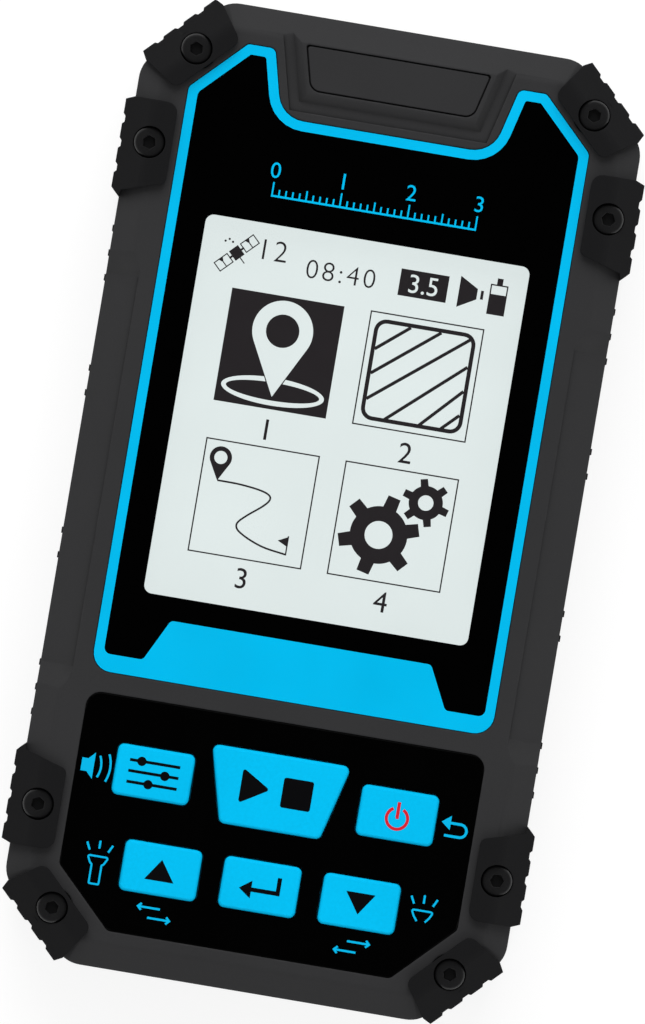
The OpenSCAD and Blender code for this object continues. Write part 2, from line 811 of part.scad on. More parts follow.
module speaker_ring() {
    difference() {
        post([0, speaker_y], speaker_dia / 2 + speaker_ring_w, floor_z - 0.5, floor_z + 3);
        post([0, speaker_y], speaker_dia / 2 + fit_gap, floor_z, floor_z + 3 + over);
    }
}

// A hole in the middle and two rings of holes round it
module sound_holes() {
    hole_r = 0.8;
    ring = 3;
    post([0, speaker_y], hole_r, rear_z - over, floor_z + over);
    for (n = [1, 2], k = [1:6 * n]) {
        post([0, speaker_y] + n * ring * [cos(60 * k / n), sin(60 * k / n)],
            hole_r, rear_z - over, floor_z + over);
    }
}

// Slotted ribs that hold the ends of the light board
module light_board_guides() {
    both_sides() difference() {
        translate([light_board_hw - 0.8, light_board_y - 1, floor_z - 0.5])
            cube([2.2, light_board_t + 2, 8]);
        translate([light_board_hw - over, light_board_y - fit_gap, floor_z])
            cube([over + fit_gap, light_board_t + 2 * fit_gap, 10]);
    }
}

// Round window of the torch and long window of the lamp, each with a ledge for its lens
module light_windows() {
    translate([-light_x, 0, light_z]) rotate([-90, 0, 0]) {
        translate([0, 0, inner_end_y - over]) cylinder(r = torch_r - 0.6, h = wall + 2 * over);
        translate([0, 0, half_l - window_t]) cylinder(r = torch_r + fit_gap, h = window_t + over);
    }
    translate([light_x, 0, light_z]) rotate([-90, 0, 0]) {
        translate([0, 0, inner_end_y - over]) linear_extrude(wall + 2 * over) polygon(lamp_outline(-1));
        translate([0, 0, half_l - window_t]) linear_extrude(window_t + over) polygon(lamp_outline(fit_gap));
    }
}

function lamp_outline(g) = rounded(slab_rows(lamp_w / 2 + g, lamp_h / 2 + g, lamp_r + g));

// Thicker wall behind the socket's mouth
module port_pad() {
    translate([-port_w / 2 - 1.5, -half_l + wall - 0.5, port_z0 - 0.5])
        cube([port_w + 3, port_pad_t + 0.5, part_z - port_z0 + 0.3]);
}

module port_recess() {
    g = move_gap;
    translate([-port_w / 2 - g, -half_l - over, port_z0 - g])
        cube([port_w + 2 * g, port_floor_y + half_l + over, port_h + 2 * g]);
    translate([-3, -half_l - over, port_z0 + port_h]) cube([6, over + 0.7, port_notch]);
    translate([0, -half_l + wall + port_pad_t + over, usb_z])
        rotate([90, 0, 0])
            linear_extrude(wall + port_pad_t + 2 * over) polygon(usb_outline(fit_gap));
}

function usb_outline(g) = rounded(slab_rows(usb_w / 2 + g, usb_h / 2 + g, 1.3 + g));

module seal_groove() {
    difference() {
        prism(body_outline(-gasket_in + 0.05), part_z - gasket_h, part_z + over);
        prism(body_outline(-gasket_in - gasket_w - 0.05), part_z - gasket_h - over, part_z + 2 * over);
    }
}

module housing_gasket() {
    color(rubber_black)
        difference() {
            prism(body_outline(-gasket_in), part_z - gasket_h + 0.05, part_z);
            prism(body_outline(-gasket_in - gasket_w), part_z - gasket_h - over, part_z + over);
        }
}

function plate_outline(g) =
    rounded(hump_rows(plateau_y0 + plate_margin - g, plateau_y1 - plate_end + g,
        g - hump_run - plate_margin, plate_r + g, 0.4));

module antenna_plate() {
    color("#3a3a3a") prism(plate_outline(0), plateau_z - plate_t, plateau_z - 0.05);
}

// Display

module display_lens() {
    color(panel_black) prism(lens_outline(0), lens_z0, lens_z1);
}

module lens_tape() {
    color(panel_black)
        difference() {
            prism(lens_outline(-0.3), shelf_z, lens_z0);
            prism(lens_outline(-0.3 - tape_w), shelf_z - over, lens_z0 + over);
        }
}

module screen_foam() {
    color(rubber_black)
        difference() {
            prism(rounded(slab_rows(glass_hw, glass_hl, 0.5, 0, glass_y)), glass_z1, roof_z);
            prism(screen_opening(), glass_z1 - over, roof_z + over);
        }
}

module screen_glass() {
    color(screen_grey) prism(rounded(slab_rows(glass_hw, glass_hl, 0.3, 0, glass_y)), glass_z0, glass_z1);
}

module screen_light_panel() {
    color(silicone_white)
        prism(rounded(slab_rows(glass_hw, glass_hl, 0.3, 0, glass_y)), light_z0, glass_z0);
}

// Tray on the main board that holds the light panel and the glass
module screen_frame() {
    hw = glass_hw + fit_gap;
    hl = glass_hl + fit_gap;
    color(silicone_white)
        difference() {
            prism(rounded(slab_rows(hw + frame_wall, hl + frame_wall, 1, 0, glass_y)), board_z1, glass_z1);
            prism(rounded(slab_rows(hw, hl, 0.3, 0, glass_y)), light_z0, glass_z1 + over);
            prism(rounded(slab_rows(hw - frame_lip, hl - frame_lip, 2, 0, glass_y)),
                board_z1 - over, glass_z1);
            translate([-flex_w / 2 - 1, glass_y - hl - frame_wall - over, glass_z0])
                cube([flex_w + 2, frame_wall + 2 * over, glass_t + over]);
        }
}

// Flexible strip from the glass's edge down to its connector
module screen_flex() {
    y0 = glass_y - glass_hl;
    z1 = glass_z0 + 1;
    z0 = board_z1 + connector_h;
    color("#b5702a")
        rotate([90, 0, 90])
            linear_extrude(flex_w, center = true)
                polygon(rounded([
                    [y0, z1 - flex_t, 0], [y0, z1, 0], [flex_y, z1, 1], [flex_y, z0, 0],
                    [flex_y + flex_t, z0, 0], [flex_y + flex_t, z1 - flex_t, 0.8]], 4));
}

module flex_connector() {
    color("#d8d2c0")
        translate([-flex_w / 2 - 1, flex_y + 0.6 - connector_d, board_z1])
            cube([flex_w + 2, connector_d, connector_h]);
}

// Keypad

module keypad_plate() {
    color(panel_black)
        difference() {
            prism(pad_outline(0), front_z - pad_t, front_z);
            for (i = [0:5]) prism(key_outline(i, move_gap), front_z - pad_t - over, front_z + over);
        }
}

// Key cap with a chamfered top, and the flange that keeps it behind the front wall
module key_cap(i) {
    chamfer = 0.3;
    color(key_blue) {
        union() {
            hull() {
                prism(key_outline(i, 0), flange_z0, key_z1 - chamfer);
                prism(key_outline(i, -chamfer), flange_z0, key_z1);
            }
            prism(key_outline(i, key_flange), flange_z0, flange_z1);
        }
    }
}

// Hollow silicone dome that pushes key i back
module key_dome(i) {
    skin = 0.5;
    top_r = 1.8;
    color(silicone_white)
        translate([KEY_X[i], KEY_Y[i], pad_board_z1])
            rotate_extrude()
                polygon([
                    [dome_r - skin, 0], [dome_r, 0], [dome_r, 0.3], [top_r, dome_h - 0.3], [top_r, dome_h],
                    [0, dome_h], [0, dome_h - 0.7], [top_r - skin, dome_h - 0.9]]);
}

module settings_key() key_cap(0);
module start_stop_key() key_cap(1);
module power_key() key_cap(2);
module up_key() key_cap(3);
module enter_key() key_cap(4);
module down_key() key_cap(5);
module settings_dome() key_dome(0);
module start_stop_dome() key_dome(1);
module power_dome() key_dome(2);
module up_dome() key_dome(3);
module enter_dome() key_dome(4);
module down_dome() key_dome(5);

module keypad_board() {
    mid = (pad_board_top + pad_board_bottom) / 2;
    hl = (pad_board_top - pad_board_bottom) / 2;
    hw = pad_hw - 0.8;
    color(board_green)
        difference() {
            prism(rounded([
                [hw, mid - hl + 4, 1], [hw, mid + hl, 1], [-hw, mid + hl, 1],
                [-hw, mid - hl + 4, 1], [-hw + 4, mid - hl, 1], [hw - 4, mid - hl, 1]]),
                pad_board_z0, pad_board_z1);
            both_sides() for (k = [0, 1]) {
                post([pad_post_x[k], pad_post_y[k]], tap_r + 0.1, pad_board_z0 - over, pad_board_z1 + over);
            }
        }
}

// Self-tapping screw that points up, its head below z
module tapping_screw(z, l) {
    translate([0, 0, z - tap_head_h]) {
        difference() {
            cylinder(r = tap_head_r, h = tap_head_h);
            for (a = [0, 90]) {
                rotate([0, 0, a]) translate([-tap_slot[0] / 2, -tap_slot[1] / 2, -over])
                    cube([tap_slot[0], tap_slot[1], over + tap_head_h / 2]);
            }
        }
        cylinder(r = tap_r - 0.25, h = tap_head_h + l);
    }
}

module keypad_board_screws() {
    color(steel_grey)
        both_sides() for (k = [0, 1]) {
            translate([pad_post_x[k], pad_post_y[k], 0])
                tapping_screw(pad_board_z0, roof_z + 0.4 - pad_board_z0);
        }
}

// Plug that joins the keypad board to the main board
module keypad_connector() {
    color("#2b2b2b")
        translate([-pad_plug[0] / 2, pad_board_top - pad_plug_in - pad_plug[1], board_z1])
            cube([pad_plug[0], pad_plug[1], pad_board_z0 - board_z1]);
}

// Electronics

module main_board() {
    color(board_green)
        difference() {
            prism(rounded(octagon_rows(board_hw, board_hl, board_sum, 1)), board_z0, board_z1);
            both_sides() for (p = board_post) post(p, tap_r + 0.1, board_z0 - over, board_z1 + over);
        }
}

module main_board_screws() {
    color(steel_grey)
        both_sides() for (p = board_post) {
            translate([p[0], p[1], 0]) tapping_screw(board_z0, board_t + tap_l - 0.5);
        }
}

module patch_antenna() {
    y = board_hl - 0.6 - patch_w / 2;
    pin_r = 0.6;
    color("#b9a37c")
        union() {
            translate([-patch_w / 2, y - patch_w / 2, board_z1]) cube([patch_w, patch_w, patch_t]);
            translate([-patch_w / 2 + 2, y - patch_w / 2 + 2, board_z1])
                cube([patch_w - 4, patch_w - 4, patch_t + 0.1]);
            post([1.5, y + 1.5], pin_r, board_z1, board_z1 + patch_t + 0.4);
        }
}

module receiver_shield() {
    lid_r = 0.6;
    x = tap_head_r + shield_gap + shield_w / 2 - board_post[0][0];
    color(steel_grey)
        prism(rounded(slab_rows(shield_w / 2, shield_l / 2, lid_r, x, board_post[0][1])),
            board_z0 - shield_h, board_z0);
}

module processor() {
    color("#1c1c1e")
        translate([12, pad_top - 5 - processor_w, board_z0 - processor_h])
            cube([processor_w, processor_w, processor_h]);
}

// Basket, surround and cone of the loudspeaker, facing the rear wall
module speaker() {
    r = speaker_dia / 2;
    color("#232325")
        translate([0, speaker_y, floor_z])
            rotate_extrude()
                polygon([
                    [0, 1.6], [2.6, 1.2], [r - 2.4, 0.4], [r - 1.2, 0], [r, 0], [r, 2],
                    [r - 2.2, speaker_t], [0, speaker_t]]);
}

// Lights at the antenna end

module light_board() {
    color(silicone_white)
        translate([-light_board_hw, light_board_y, light_board_z0])
            cube([2 * light_board_hw, light_board_t, light_board_z1 - light_board_z0]);
}

// Local frame with its axis along +Y, starting at the light board's face
module on_light_board(x) {
    translate([x, light_board_y + light_board_t, light_z]) rotate([-90, 0, 0]) children();
}

module torch_led() {
    color("#e8d890")
        on_light_board(-light_x) {
            translate([-1.5, -1.5, 0]) cube([3, 3, 0.6]);
            translate([0, 0, 0.5]) cylinder(r = 1.2, h = 0.7);
        }
}

module torch_reflector() {
    depth = inner_end_y - light_board_y - light_board_t - fit_gap;
    mouth_r = torch_r - 0.6;
    steps = 8;
    bowl = [for (k = [0:steps]) [2.3 + (mouth_r - 2.3) * sqrt(k / steps), 1.4 + (depth - 1.4) * k / steps]];
    color(steel_grey)
        on_light_board(-light_x)
            rotate_extrude()
                polygon(concat(
                    [[mouth_r + 0.4, depth], [mouth_r + 0.4, depth - 1.2], [3.2, 0], [2.3, 0]], bowl));
}

module torch_lens() {
    color("#dfe8ee")
        translate([-light_x, half_l - window_t, light_z])
            rotate([-90, 0, 0])
                rotate_extrude()
                    polygon([
                        [0, 0], [torch_r, 0], [torch_r, window_t - window_set - 0.25],
                        [torch_r - 0.25, window_t - window_set], [0, window_t - window_set]]);
}

module lamp_leds() {
    color("#f0e8b8")
        for (k = [-1:1]) {
            on_light_board(light_x + k * lamp_w / 3.4) translate([-1.4, -1.4, 0]) cube([2.8, 2.8, 0.8]);
        }
}

module lamp_diffuser() {
    color("#eef1f2")
        translate([light_x, half_l - window_t, light_z])
            rotate([-90, 0, 0])
                linear_extrude(window_t - window_set) polygon(lamp_outline(0));
}

// Socket and its cover

module usb_socket() {
    skin = 0.3;
    color(steel_grey)
        translate([0, usb_y0, usb_z])
            rotate([-90, 0, 0]) {
                difference() {
                    linear_extrude(usb_l) polygon(usb_outline(0));
                    translate([0, 0, -over]) linear_extrude(usb_l - 1 + over) polygon(usb_outline(-skin));
                }
                translate([-3.3, -0.35, 1.8]) cube([6.6, 0.7, usb_l - 2]);
            }
}

// Rubber flap that turns about the bead along its lower edge
module port_cover() {
    tongue_d = 0.8;
    color(rubber_black)
        union() {
            translate([-port_w / 2, hinge_y, hinge_z]) rotate([0, 90, 0]) cylinder(r = hinge_r, h = port_w);
            translate([-port_w / 2, -half_l, hinge_z]) cube([port_w, port_t, port_z0 + port_h - hinge_z]);
            translate([0, -half_l + port_t + tongue_d, usb_z])
                rotate([90, 0, 0])
                    linear_extrude(tongue_d + 0.4) polygon(usb_outline(-0.7));
        }
}

// Power

module battery() {
    color("#2f5d8c")
        prism(rounded(slab_rows(battery_w / 2, battery_l / 2, 1, 0, bay_y)), battery_z0, battery_z1);
}

module battery_foam() {
    color("#55585a")
        prism(rounded(slab_rows(battery_w / 2 - foam_in, battery_l / 2 - foam_in, 1, 0, bay_y)),
            cover_z1, battery_z0);
}

// Contact block in the lower wall of the bay, with three pins up to the main board
module battery_contacts() {
    y0 = bay_y - bay_hl - contact_d;
    color(brass_yellow)
        union() {
            translate([-contact_w / 2, y0, contact_z0]) cube([contact_w, contact_d, contact_h]);
            for (k = [-1:1]) {
                translate([4 * k - 0.4, y0 + 0.3, contact_z0 + contact_h - 0.2])
                    cube([0.8, 0.8, board_z0 - contact_z0 - contact_h + 0.2]);
                translate([4 * k - 0.8, bay_y - bay_hl - 0.2, contact_z0 + 1.5]) cube([1.6, 0.6, 2]);
            }
        }
}

module battery_cover() {
    color(housing_grey)
        difference() {
            prism(rounded(slab_rows(cover_hw, cover_hl, cover_r, 0, bay_y)), rear_z, cover_z1);
            for (sy = [-1, 1]) both_sides() {
                translate([cover_screw[0], bay_y + sy * cover_screw[1], rear_z]) {
                    translate([0, 0, -over]) cylinder(r = tap_r + 0.1, h = cover_t + 2 * over);
                    translate([0, 0, -over]) cylinder(r = tap_head_r + 0.15, h = over + 0.9);
                }
            }
        }
}

module cover_gasket() {
    color(rubber_black)
        difference() {
            prism(seal_outline(seal_in + seal_w), cover_z1, cover_z1 + seal_h);
            prism(seal_outline(seal_in), cover_z1 - over, cover_z1 + seal_h + over);
        }
}

// Low flat heads that lie in the cover
module cover_screws() {
    color(dark_steel)
        for (sy = [-1, 1]) both_sides() {
            translate([cover_screw[0], bay_y + sy * cover_screw[1], rear_z + 0.1]) {
                difference() {
                    cylinder(r = tap_head_r, h = cover_head_h);
                    for (a = [0, 90]) {
                        rotate([0, 0, a]) translate([-tap_slot[0] / 2, -tap_slot[1] / 2, -over])
                            cube([tap_slot[0], tap_slot[1], over + cover_head_h / 2]);
                    }
                }
                cylinder(r = tap_r - 0.25, h = cover_t + tap_l - 0.5);
            }
        }
}

// Bumpers and their screws

// Bumper in its own frame: x out of the housing, y along the edge. The rows give its plan.
module bumper_at(origin, angle, rows, screw) {
    color(rubber_black)
        difference() {
            union() {
                difference() {
                    intersection() {
                        sloped_core(bumper_t);
                        translate([origin[0], origin[1], 0])
                            rotate([0, 0, angle])
                                difference() {
                                    prism(rounded(rows, 4), -over, front_z + 2 * bumper_t);
                                    bumper_grooves();
                                }
                    }
                    housing_form(fit_gap);
                }
                post(screw, cup_r + cup_wall, spot_z + 0.02, cup_z);
                intersection() {
                    post(screw, cup_r + cup_wall, spot_z + 0.02, front_z);
                    sloped_core(bumper_t);
                }
            }
            post(screw, cup_r, cup_z, front_z + 2 * bumper_t);
            post(screw, shank_dia / 2 + 0.15, spot_z - over, cup_z + over);
        }
}

// Grooves across the outer wall
module bumper_grooves() {
    for (k = [-1:1]) {
        translate([bumper_t, k * groove_pitch, -2 * over])
            linear_extrude(reach)
                polygon([
                    [-groove_d, -groove_w / 2 + 0.25], [0.2, -groove_w / 2 - 0.25],
                    [0.2, groove_w / 2 + 0.25], [-groove_d, groove_w / 2 - 0.25]]);
    }
}

// Plan of a side bumper at the upper right, square above and splayed below
function side_bumper_rows() = let (e = bumper_l / 2) [
    [bumper_t, -e, 0], [bumper_t, e, 0], [0, e + 0.5, 0], [-side_reach, e + 0.4, 1.6],
    [-side_reach, 1.55 - e, 1], [-0.2, -e - 0.25, 0], [0, -e - 1.25, 0]];

// Plan of a corner bumper, narrower towards the lens
function corner_bumper_rows() = let (e = bumper_l / 2) [
    [bumper_t, -e, 0], [bumper_t, e, 0], [0, e + 0.4, 0], [-corner_reach, e - 0.7, 1.4],
    [-corner_reach, 0.7 - e, 1.4], [0, -e - 0.4, 0]];

// Bumpers of the upper right quarter, mirrored to the others
module side_bumper(sx, sy) {
    mirror([sx < 0 ? 1 : 0, 0, 0])
        mirror([0, sy < 0 ? 1 : 0, 0])
            bumper_at([half_w, bumper_y], 0, side_bumper_rows(), [screw_x[0], screw_y]);
}

module corner_bumper(sx, sy) {
    mirror([sx < 0 ? 1 : 0, 0, 0])
        mirror([0, sy < 0 ? 1 : 0, 0])
            bumper_at(corner_mid, 45, corner_bumper_rows(), corner_screw);
}

module upper_left_corner_bumper() corner_bumper(-1, 1);
module upper_right_corner_bumper() corner_bumper(1, 1);
module lower_left_corner_bumper() corner_bumper(-1, -1);
module lower_right_corner_bumper() corner_bumper(1, -1);
module upper_left_side_bumper() side_bumper(-1, 1);
module upper_right_side_bumper() side_bumper(1, 1);
module lower_left_side_bumper() side_bumper(-1, -1);
module lower_right_side_bumper() side_bumper(1, -1);

// Eight screws with a low round head and a hexagon socket
module bumper_screws() {
    r = head_dia / 2;
    color(dark_steel)
        at_bumper_screws() translate([0, 0, cup_z]) {
            difference() {
                rotate_extrude()
                    polygon([
                        [0, 0], [r, 0], [r, head_h - 0.4], [r - 0.12, head_h - 0.15],
                        [r - 0.4, head_h], [0, head_h]]);
                translate([0, 0, head_h - socket_h]) cylinder(d = socket_w, h = over, $fn = 6);
            }
            translate([0, 0, -shank_l]) cylinder(r = shank_dia / 2 - 0.02, h = shank_l + 0.2);
        }
}

module threaded_inserts() {
    color(brass_yellow)
        at_bumper_screws() translate([0, 0, insert_z0])
            difference() {
                cylinder(r = insert_dia / 2, h = insert_l);
                translate([0, 0, -over]) cylinder(r = shank_dia / 2 + 0.02, h = insert_l + 2 * over);
            }
}

front_housing();
rear_housing();
housing_gasket();
antenna_plate();
display_lens();
lens_tape();
screen_foam();
screen_glass();
screen_light_panel();
screen_frame();
screen_flex();
flex_connector();
keypad_plate();
settings_key();
start_stop_key();
power_key();
up_key();
enter_key();
down_key();
settings_dome();
start_stop_dome();
power_dome();
up_dome();
enter_dome();
down_dome();
keypad_board();
keypad_board_screws();
keypad_connector();
main_board();
main_board_screws();
patch_antenna();
receiver_shield();
processor();
speaker();
light_board();
torch_led();
torch_reflector();
torch_lens();
lamp_leds();
lamp_diffuser();
usb_socket();
port_cover();
battery();
battery_foam();
battery_contacts();
battery_cover();
cover_gasket();
cover_screws();
upper_left_corner_bumper();
upper_right_corner_bumper();
lower_left_corner_bumper();
lower_right_corner_bumper();
upper_left_side_bumper();
upper_right_side_bumper();
lower_left_side_bumper();
lower_right_side_bumper();
bumper_screws();
threaded_inserts();
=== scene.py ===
"""Finishes, printed marks and studio for a handheld land area meter.

Laid out as an add-on and run as a script. Shapes are worked out in millimetres and stored in metres,
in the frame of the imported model: +Z out of the display, +Y to the antenna end, +X to the reader's right.
"""

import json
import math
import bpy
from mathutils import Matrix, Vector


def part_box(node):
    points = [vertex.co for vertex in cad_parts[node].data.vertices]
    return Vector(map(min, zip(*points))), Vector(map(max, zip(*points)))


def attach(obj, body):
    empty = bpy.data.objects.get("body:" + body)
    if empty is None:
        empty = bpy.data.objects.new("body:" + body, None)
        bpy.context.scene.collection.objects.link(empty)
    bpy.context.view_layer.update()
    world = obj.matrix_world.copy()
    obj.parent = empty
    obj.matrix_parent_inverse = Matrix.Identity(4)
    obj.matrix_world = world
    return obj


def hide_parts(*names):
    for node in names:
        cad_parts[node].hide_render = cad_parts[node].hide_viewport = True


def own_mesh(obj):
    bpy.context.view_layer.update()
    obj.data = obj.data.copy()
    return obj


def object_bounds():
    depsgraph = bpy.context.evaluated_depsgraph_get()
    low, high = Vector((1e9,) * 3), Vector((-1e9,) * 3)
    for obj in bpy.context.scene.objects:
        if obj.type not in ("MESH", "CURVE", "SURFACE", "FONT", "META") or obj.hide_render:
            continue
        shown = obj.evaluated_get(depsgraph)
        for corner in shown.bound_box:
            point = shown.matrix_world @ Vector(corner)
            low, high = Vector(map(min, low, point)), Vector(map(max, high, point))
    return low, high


bl_info = {
    "name": "Land Area Meter",
    "version": (1, 0, 0),
    "blender": (4, 5, 0),
    "location": "3D View > Sidebar > Area Meter",
    "description": "Finishes, printed marks and studio for a handheld land area meter",
    "category": "Object",
}

import bmesh
import bpy
from bpy.props import FloatProperty, FloatVectorProperty, IntProperty, PointerProperty
from mathutils import Matrix, Vector
from mathutils.bvhtree import BVHTree
from mathutils.geometry import tessellate_polygon

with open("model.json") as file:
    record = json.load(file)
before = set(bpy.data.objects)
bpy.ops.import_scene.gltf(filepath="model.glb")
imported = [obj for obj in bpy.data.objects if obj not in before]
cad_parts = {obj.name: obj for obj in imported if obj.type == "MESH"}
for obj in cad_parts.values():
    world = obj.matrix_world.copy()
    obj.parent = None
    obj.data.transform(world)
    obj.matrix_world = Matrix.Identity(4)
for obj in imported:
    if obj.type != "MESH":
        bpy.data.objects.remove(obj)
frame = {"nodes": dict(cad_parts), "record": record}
CAD_BOX = [list(corner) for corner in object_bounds()]
MM = 0.001


# Settings


def linear(code):
    """Linear colour of a six-figure screen colour."""
    parts = [int(code[i : i + 2], 16) / 255 for i in (0, 2, 4)]
    return tuple(c / 12.92 if c <= 0.04045 else ((c + 0.055) / 1.055) ** 2.4 for c in parts)


def size(name, default, description):
    """A length property whose default is given in millimetres."""
    return FloatProperty(name=name, description=description, default=default * MM, precision=5, unit="LENGTH")


def tint(name, code, description):
    """A colour property whose default is given as a screen colour."""
    return FloatVectorProperty(
        name=name, description=description, default=linear(code), size=3, min=0, max=1, subtype="COLOR"
    )


def amount(name, default, description, **more):
    """A plain number property."""
    return FloatProperty(name=name, description=description, default=default, **more)


def whole(name, default, description, least=1):
    """A whole-number property."""
    return IntProperty(name=name, description=description, default=default, min=least)


class AREAMETER_PG_shell(bpy.types.PropertyGroup):
    """Housing and bumpers."""

    plastic: tint("Plastic", "323233", "Colour of the moulded housing")
    plate: tint("Plate", "313132", "Colour of the antenna plate")
    rubber: tint("Rubber", "171718", "Colour of the bumpers and of the port cover")
    edge: size("Edge rounding", 0.42, "Rounding of the housing's edges")
    rubber_edge: size("Rubber edge rounding", 0.3, "Rounding of the bumpers' edges")
    grain: size("Grain", 0.32, "Size of the moulded grain")


class AREAMETER_PG_lamp(bpy.types.PropertyGroup):
    """Ribbed window of the lamp."""

    corner: size("Corner", 2.2, "Radius of the window's corners")
    rise: size("Rise", 0.3, "Height of the ribs")
    ribs: whole("Ribs", 14, "Number of upright ribs")


class AREAMETER_PG_display(bpy.types.PropertyGroup):
    """Lens, its print and the picture on the screen."""

    black: tint("Black print", "010101", "Colour of the black print under the lens")
    blue: tint("Blue print", "00b9ec", "Colour of the border, the scale and the marks")
    paper: tint("Screen ground", "e7f1f0", "Colour of the screen where it is clear")
    ink: tint("Screen ink", "262325", "Colour of the screen where it is dark")
    # Painted light: the screen's glow is high enough to paint out the lens frame's shadow on it
    glow: amount("Glow", 0.93, "Share of the screen's light that it gives itself")
    border: size("Border", 1.45, "Width of the blue border")
    chamfer: size("Chamfer", 0.06, "Width of the ground edge of the lens")
    window_w: size("Window width", 47.8, "Width of the clear window")
    window_h: size("Window height", 55.9, "Height of the clear window")
    window_y: size("Window centre", 12.05, "Height of the window's centre")
    window_r: size("Window corner", 1.2, "Radius of the window's corners")
    foot_rise: size("Foot rise", 8.85, "Height of the blue foot of the lens")
    ticks: whole("Marks", 31, "Number of marks on the printed scale", least=2)
    pitch: size("Pitch", 1.0, "Distance from mark to mark")
    scale_y: size("Scale height", 44.1, "Height of the scale's base line")


class AREAMETER_PG_keypad(bpy.types.PropertyGroup):
    """Keys and the marks on and round them."""

    cap: tint("Key", "00bef2", "Colour of the keys")
    legend: tint("Legend", "060608", "Colour of the marks on the keys")
    power: tint("Power mark", "dc1f2d", "Colour of the mark on the power key")
    line: size("Line", 0.31, "Width of the lines of the marks")
    edge: size("Key edge", 0.15, "Rounding of the keys' edges")
    plate_edge: size("Plate edge", 0.12, "Rounding of the keypad plate's edges")


class AREAMETER_PG_fasteners(bpy.types.PropertyGroup):
    """Screws and inserts."""

    head: size("Head", 4.5, "Diameter of a bumper screw's head")
    head_h: size("Head height", 1.4, "Height of a bumper screw's head")
    socket: size("Socket", 1.8, "Width of the hexagon socket across its flats")
    socket_depth: size("Socket depth", 1.1, "Depth of the hexagon socket")
    shank: size("Shank", 2.46, "Diameter of a bumper screw's shank")
    tap: size("Small shank", 1.5, "Diameter of the shank of a cover or board screw")
    seed: whole("Turn seed", 7, "Seed of the angles at which the screws stand", least=0)


class AREAMETER_PG_studio(bpy.types.PropertyGroup):
    """Camera, lamps and floor."""

    lens: amount("Focal length", 400, "Focal length of the camera in millimetres")
    view_h: size("View height", 149.0, "Height of the front face's plane that fills the picture")
    turn: amount("Turn", math.radians(9.56), "Turn of the meter in the picture", subtype="ANGLE")
    key: amount("Key lamp", 8.6, "Power of the lamp beyond the antenna end", unit="POWER")
    fill: amount("Fill lamp", 2.9, "Power of the lamp beyond the keypad end", unit="POWER")
    ambient: amount("Ambient", 0.58, "Strength of the light from all round")
    floor: size("Floor", 9000, "Side of the floor")


class AREAMETER_PG_settings(bpy.types.PropertyGroup):
    """All settings of the meter."""

    shell: PointerProperty(type=AREAMETER_PG_shell)
    lamp: PointerProperty(type=AREAMETER_PG_lamp)
    display: PointerProperty(type=AREAMETER_PG_display)
    keypad: PointerProperty(type=AREAMETER_PG_keypad)
    fasteners: PointerProperty(type=AREAMETER_PG_fasteners)
    studio: PointerProperty(type=AREAMETER_PG_studio)


def settings():
    """The settings of this scene."""
    return bpy.context.scene.area_meter


# CAD nodes


def box_of(node):
    """Lowest and highest corner of a CAD node in millimetres."""
    return [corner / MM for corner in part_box(node)]


def top_of(node):
    """Height of a CAD node's top in millimetres."""
    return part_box(node)[1].z / MM


def nodes_named(ending):
    """Names of the CAD nodes that end so, in order."""
    return sorted(node for node in frame["nodes"] if node.endswith(ending))


# Plane shapes, in millimetres

# A corner with a smaller radius than this stays sharp
SHARP = 0.01
# Least cosine of half a turn in a line, which limits how far its sharp corners stick out
MITRE = 0.35


def rounded(rows, steps=6):
    """Outline of a polygon whose rows are (x, y, corner radius), counterclockwise."""
    points = []
    for i, (x, y, radius) in enumerate(rows):
        corner = Vector((x, y))
        if radius < SHARP:
            points.append(corner)
            continue
        to_last = (Vector(rows[i - 1][:2]) - corner).normalized()
        to_next = (Vector(rows[(i + 1) % len(rows)][:2]) - corner).normalized()
        half = to_last.angle(to_next) / 2
        centre = corner + (to_last + to_next).normalized() * (radius / math.sin(half))
        start = corner + to_last * (radius / math.tan(half)) - centre
        turn = (math.pi - 2 * half) * (-1 if to_last.cross(to_next) > 0 else 1)
        for k in range(steps + 1):
            points.append(centre + Matrix.Rotation(turn * k / steps, 2) @ start)
    return points


def box_rows(x, y, w, h, r=0):
    """Rows of a rectangle centred on (x, y)."""
    return [(x + u * w / 2, y + v * h / 2, r) for u, v in ((1, -1), (1, 1), (-1, 1), (-1, -1))]


def arc(x, y, rx, start, end, ry=None, steps=24):
    """Points along an arc or an ellipse, between two angles in degrees."""
    ry = rx if ry is None else ry
    angles = [math.radians(start + (end - start) * k / steps) for k in range(steps + 1)]
    return [Vector((x + rx * math.cos(a), y + ry * math.sin(a))) for a in angles]


def ring(x, y, rx, ry=None, steps=32):
    """A circle or an ellipse."""
    return arc(x, y, rx, 0, 360, ry, steps)[:-1]


def curve_through(points, steps=8):
    """Smooth curve through the points."""
    pts = [Vector(p) for p in points]
    pts = [2 * pts[0] - pts[1], *pts, 2 * pts[-1] - pts[-2]]
    out = []
    for a, b, c, d in zip(pts, pts[1:], pts[2:], pts[3:]):
        first, second, third = c - a, 2 * a - 5 * b + 4 * c - d, 3 * b - a - 3 * c + d
        for t in (k / steps for k in range(steps)):
            out.append(b + 0.5 * t * (first + t * (second + t * third)))
    return [*out, pts[-2]]


def loop_area(loop):
    """Area inside a loop, below 0 where it runs clockwise."""
    return sum(a.x * b.y - b.x * a.y for a, b in zip(loop, loop[1:] + loop[:1])) / 2


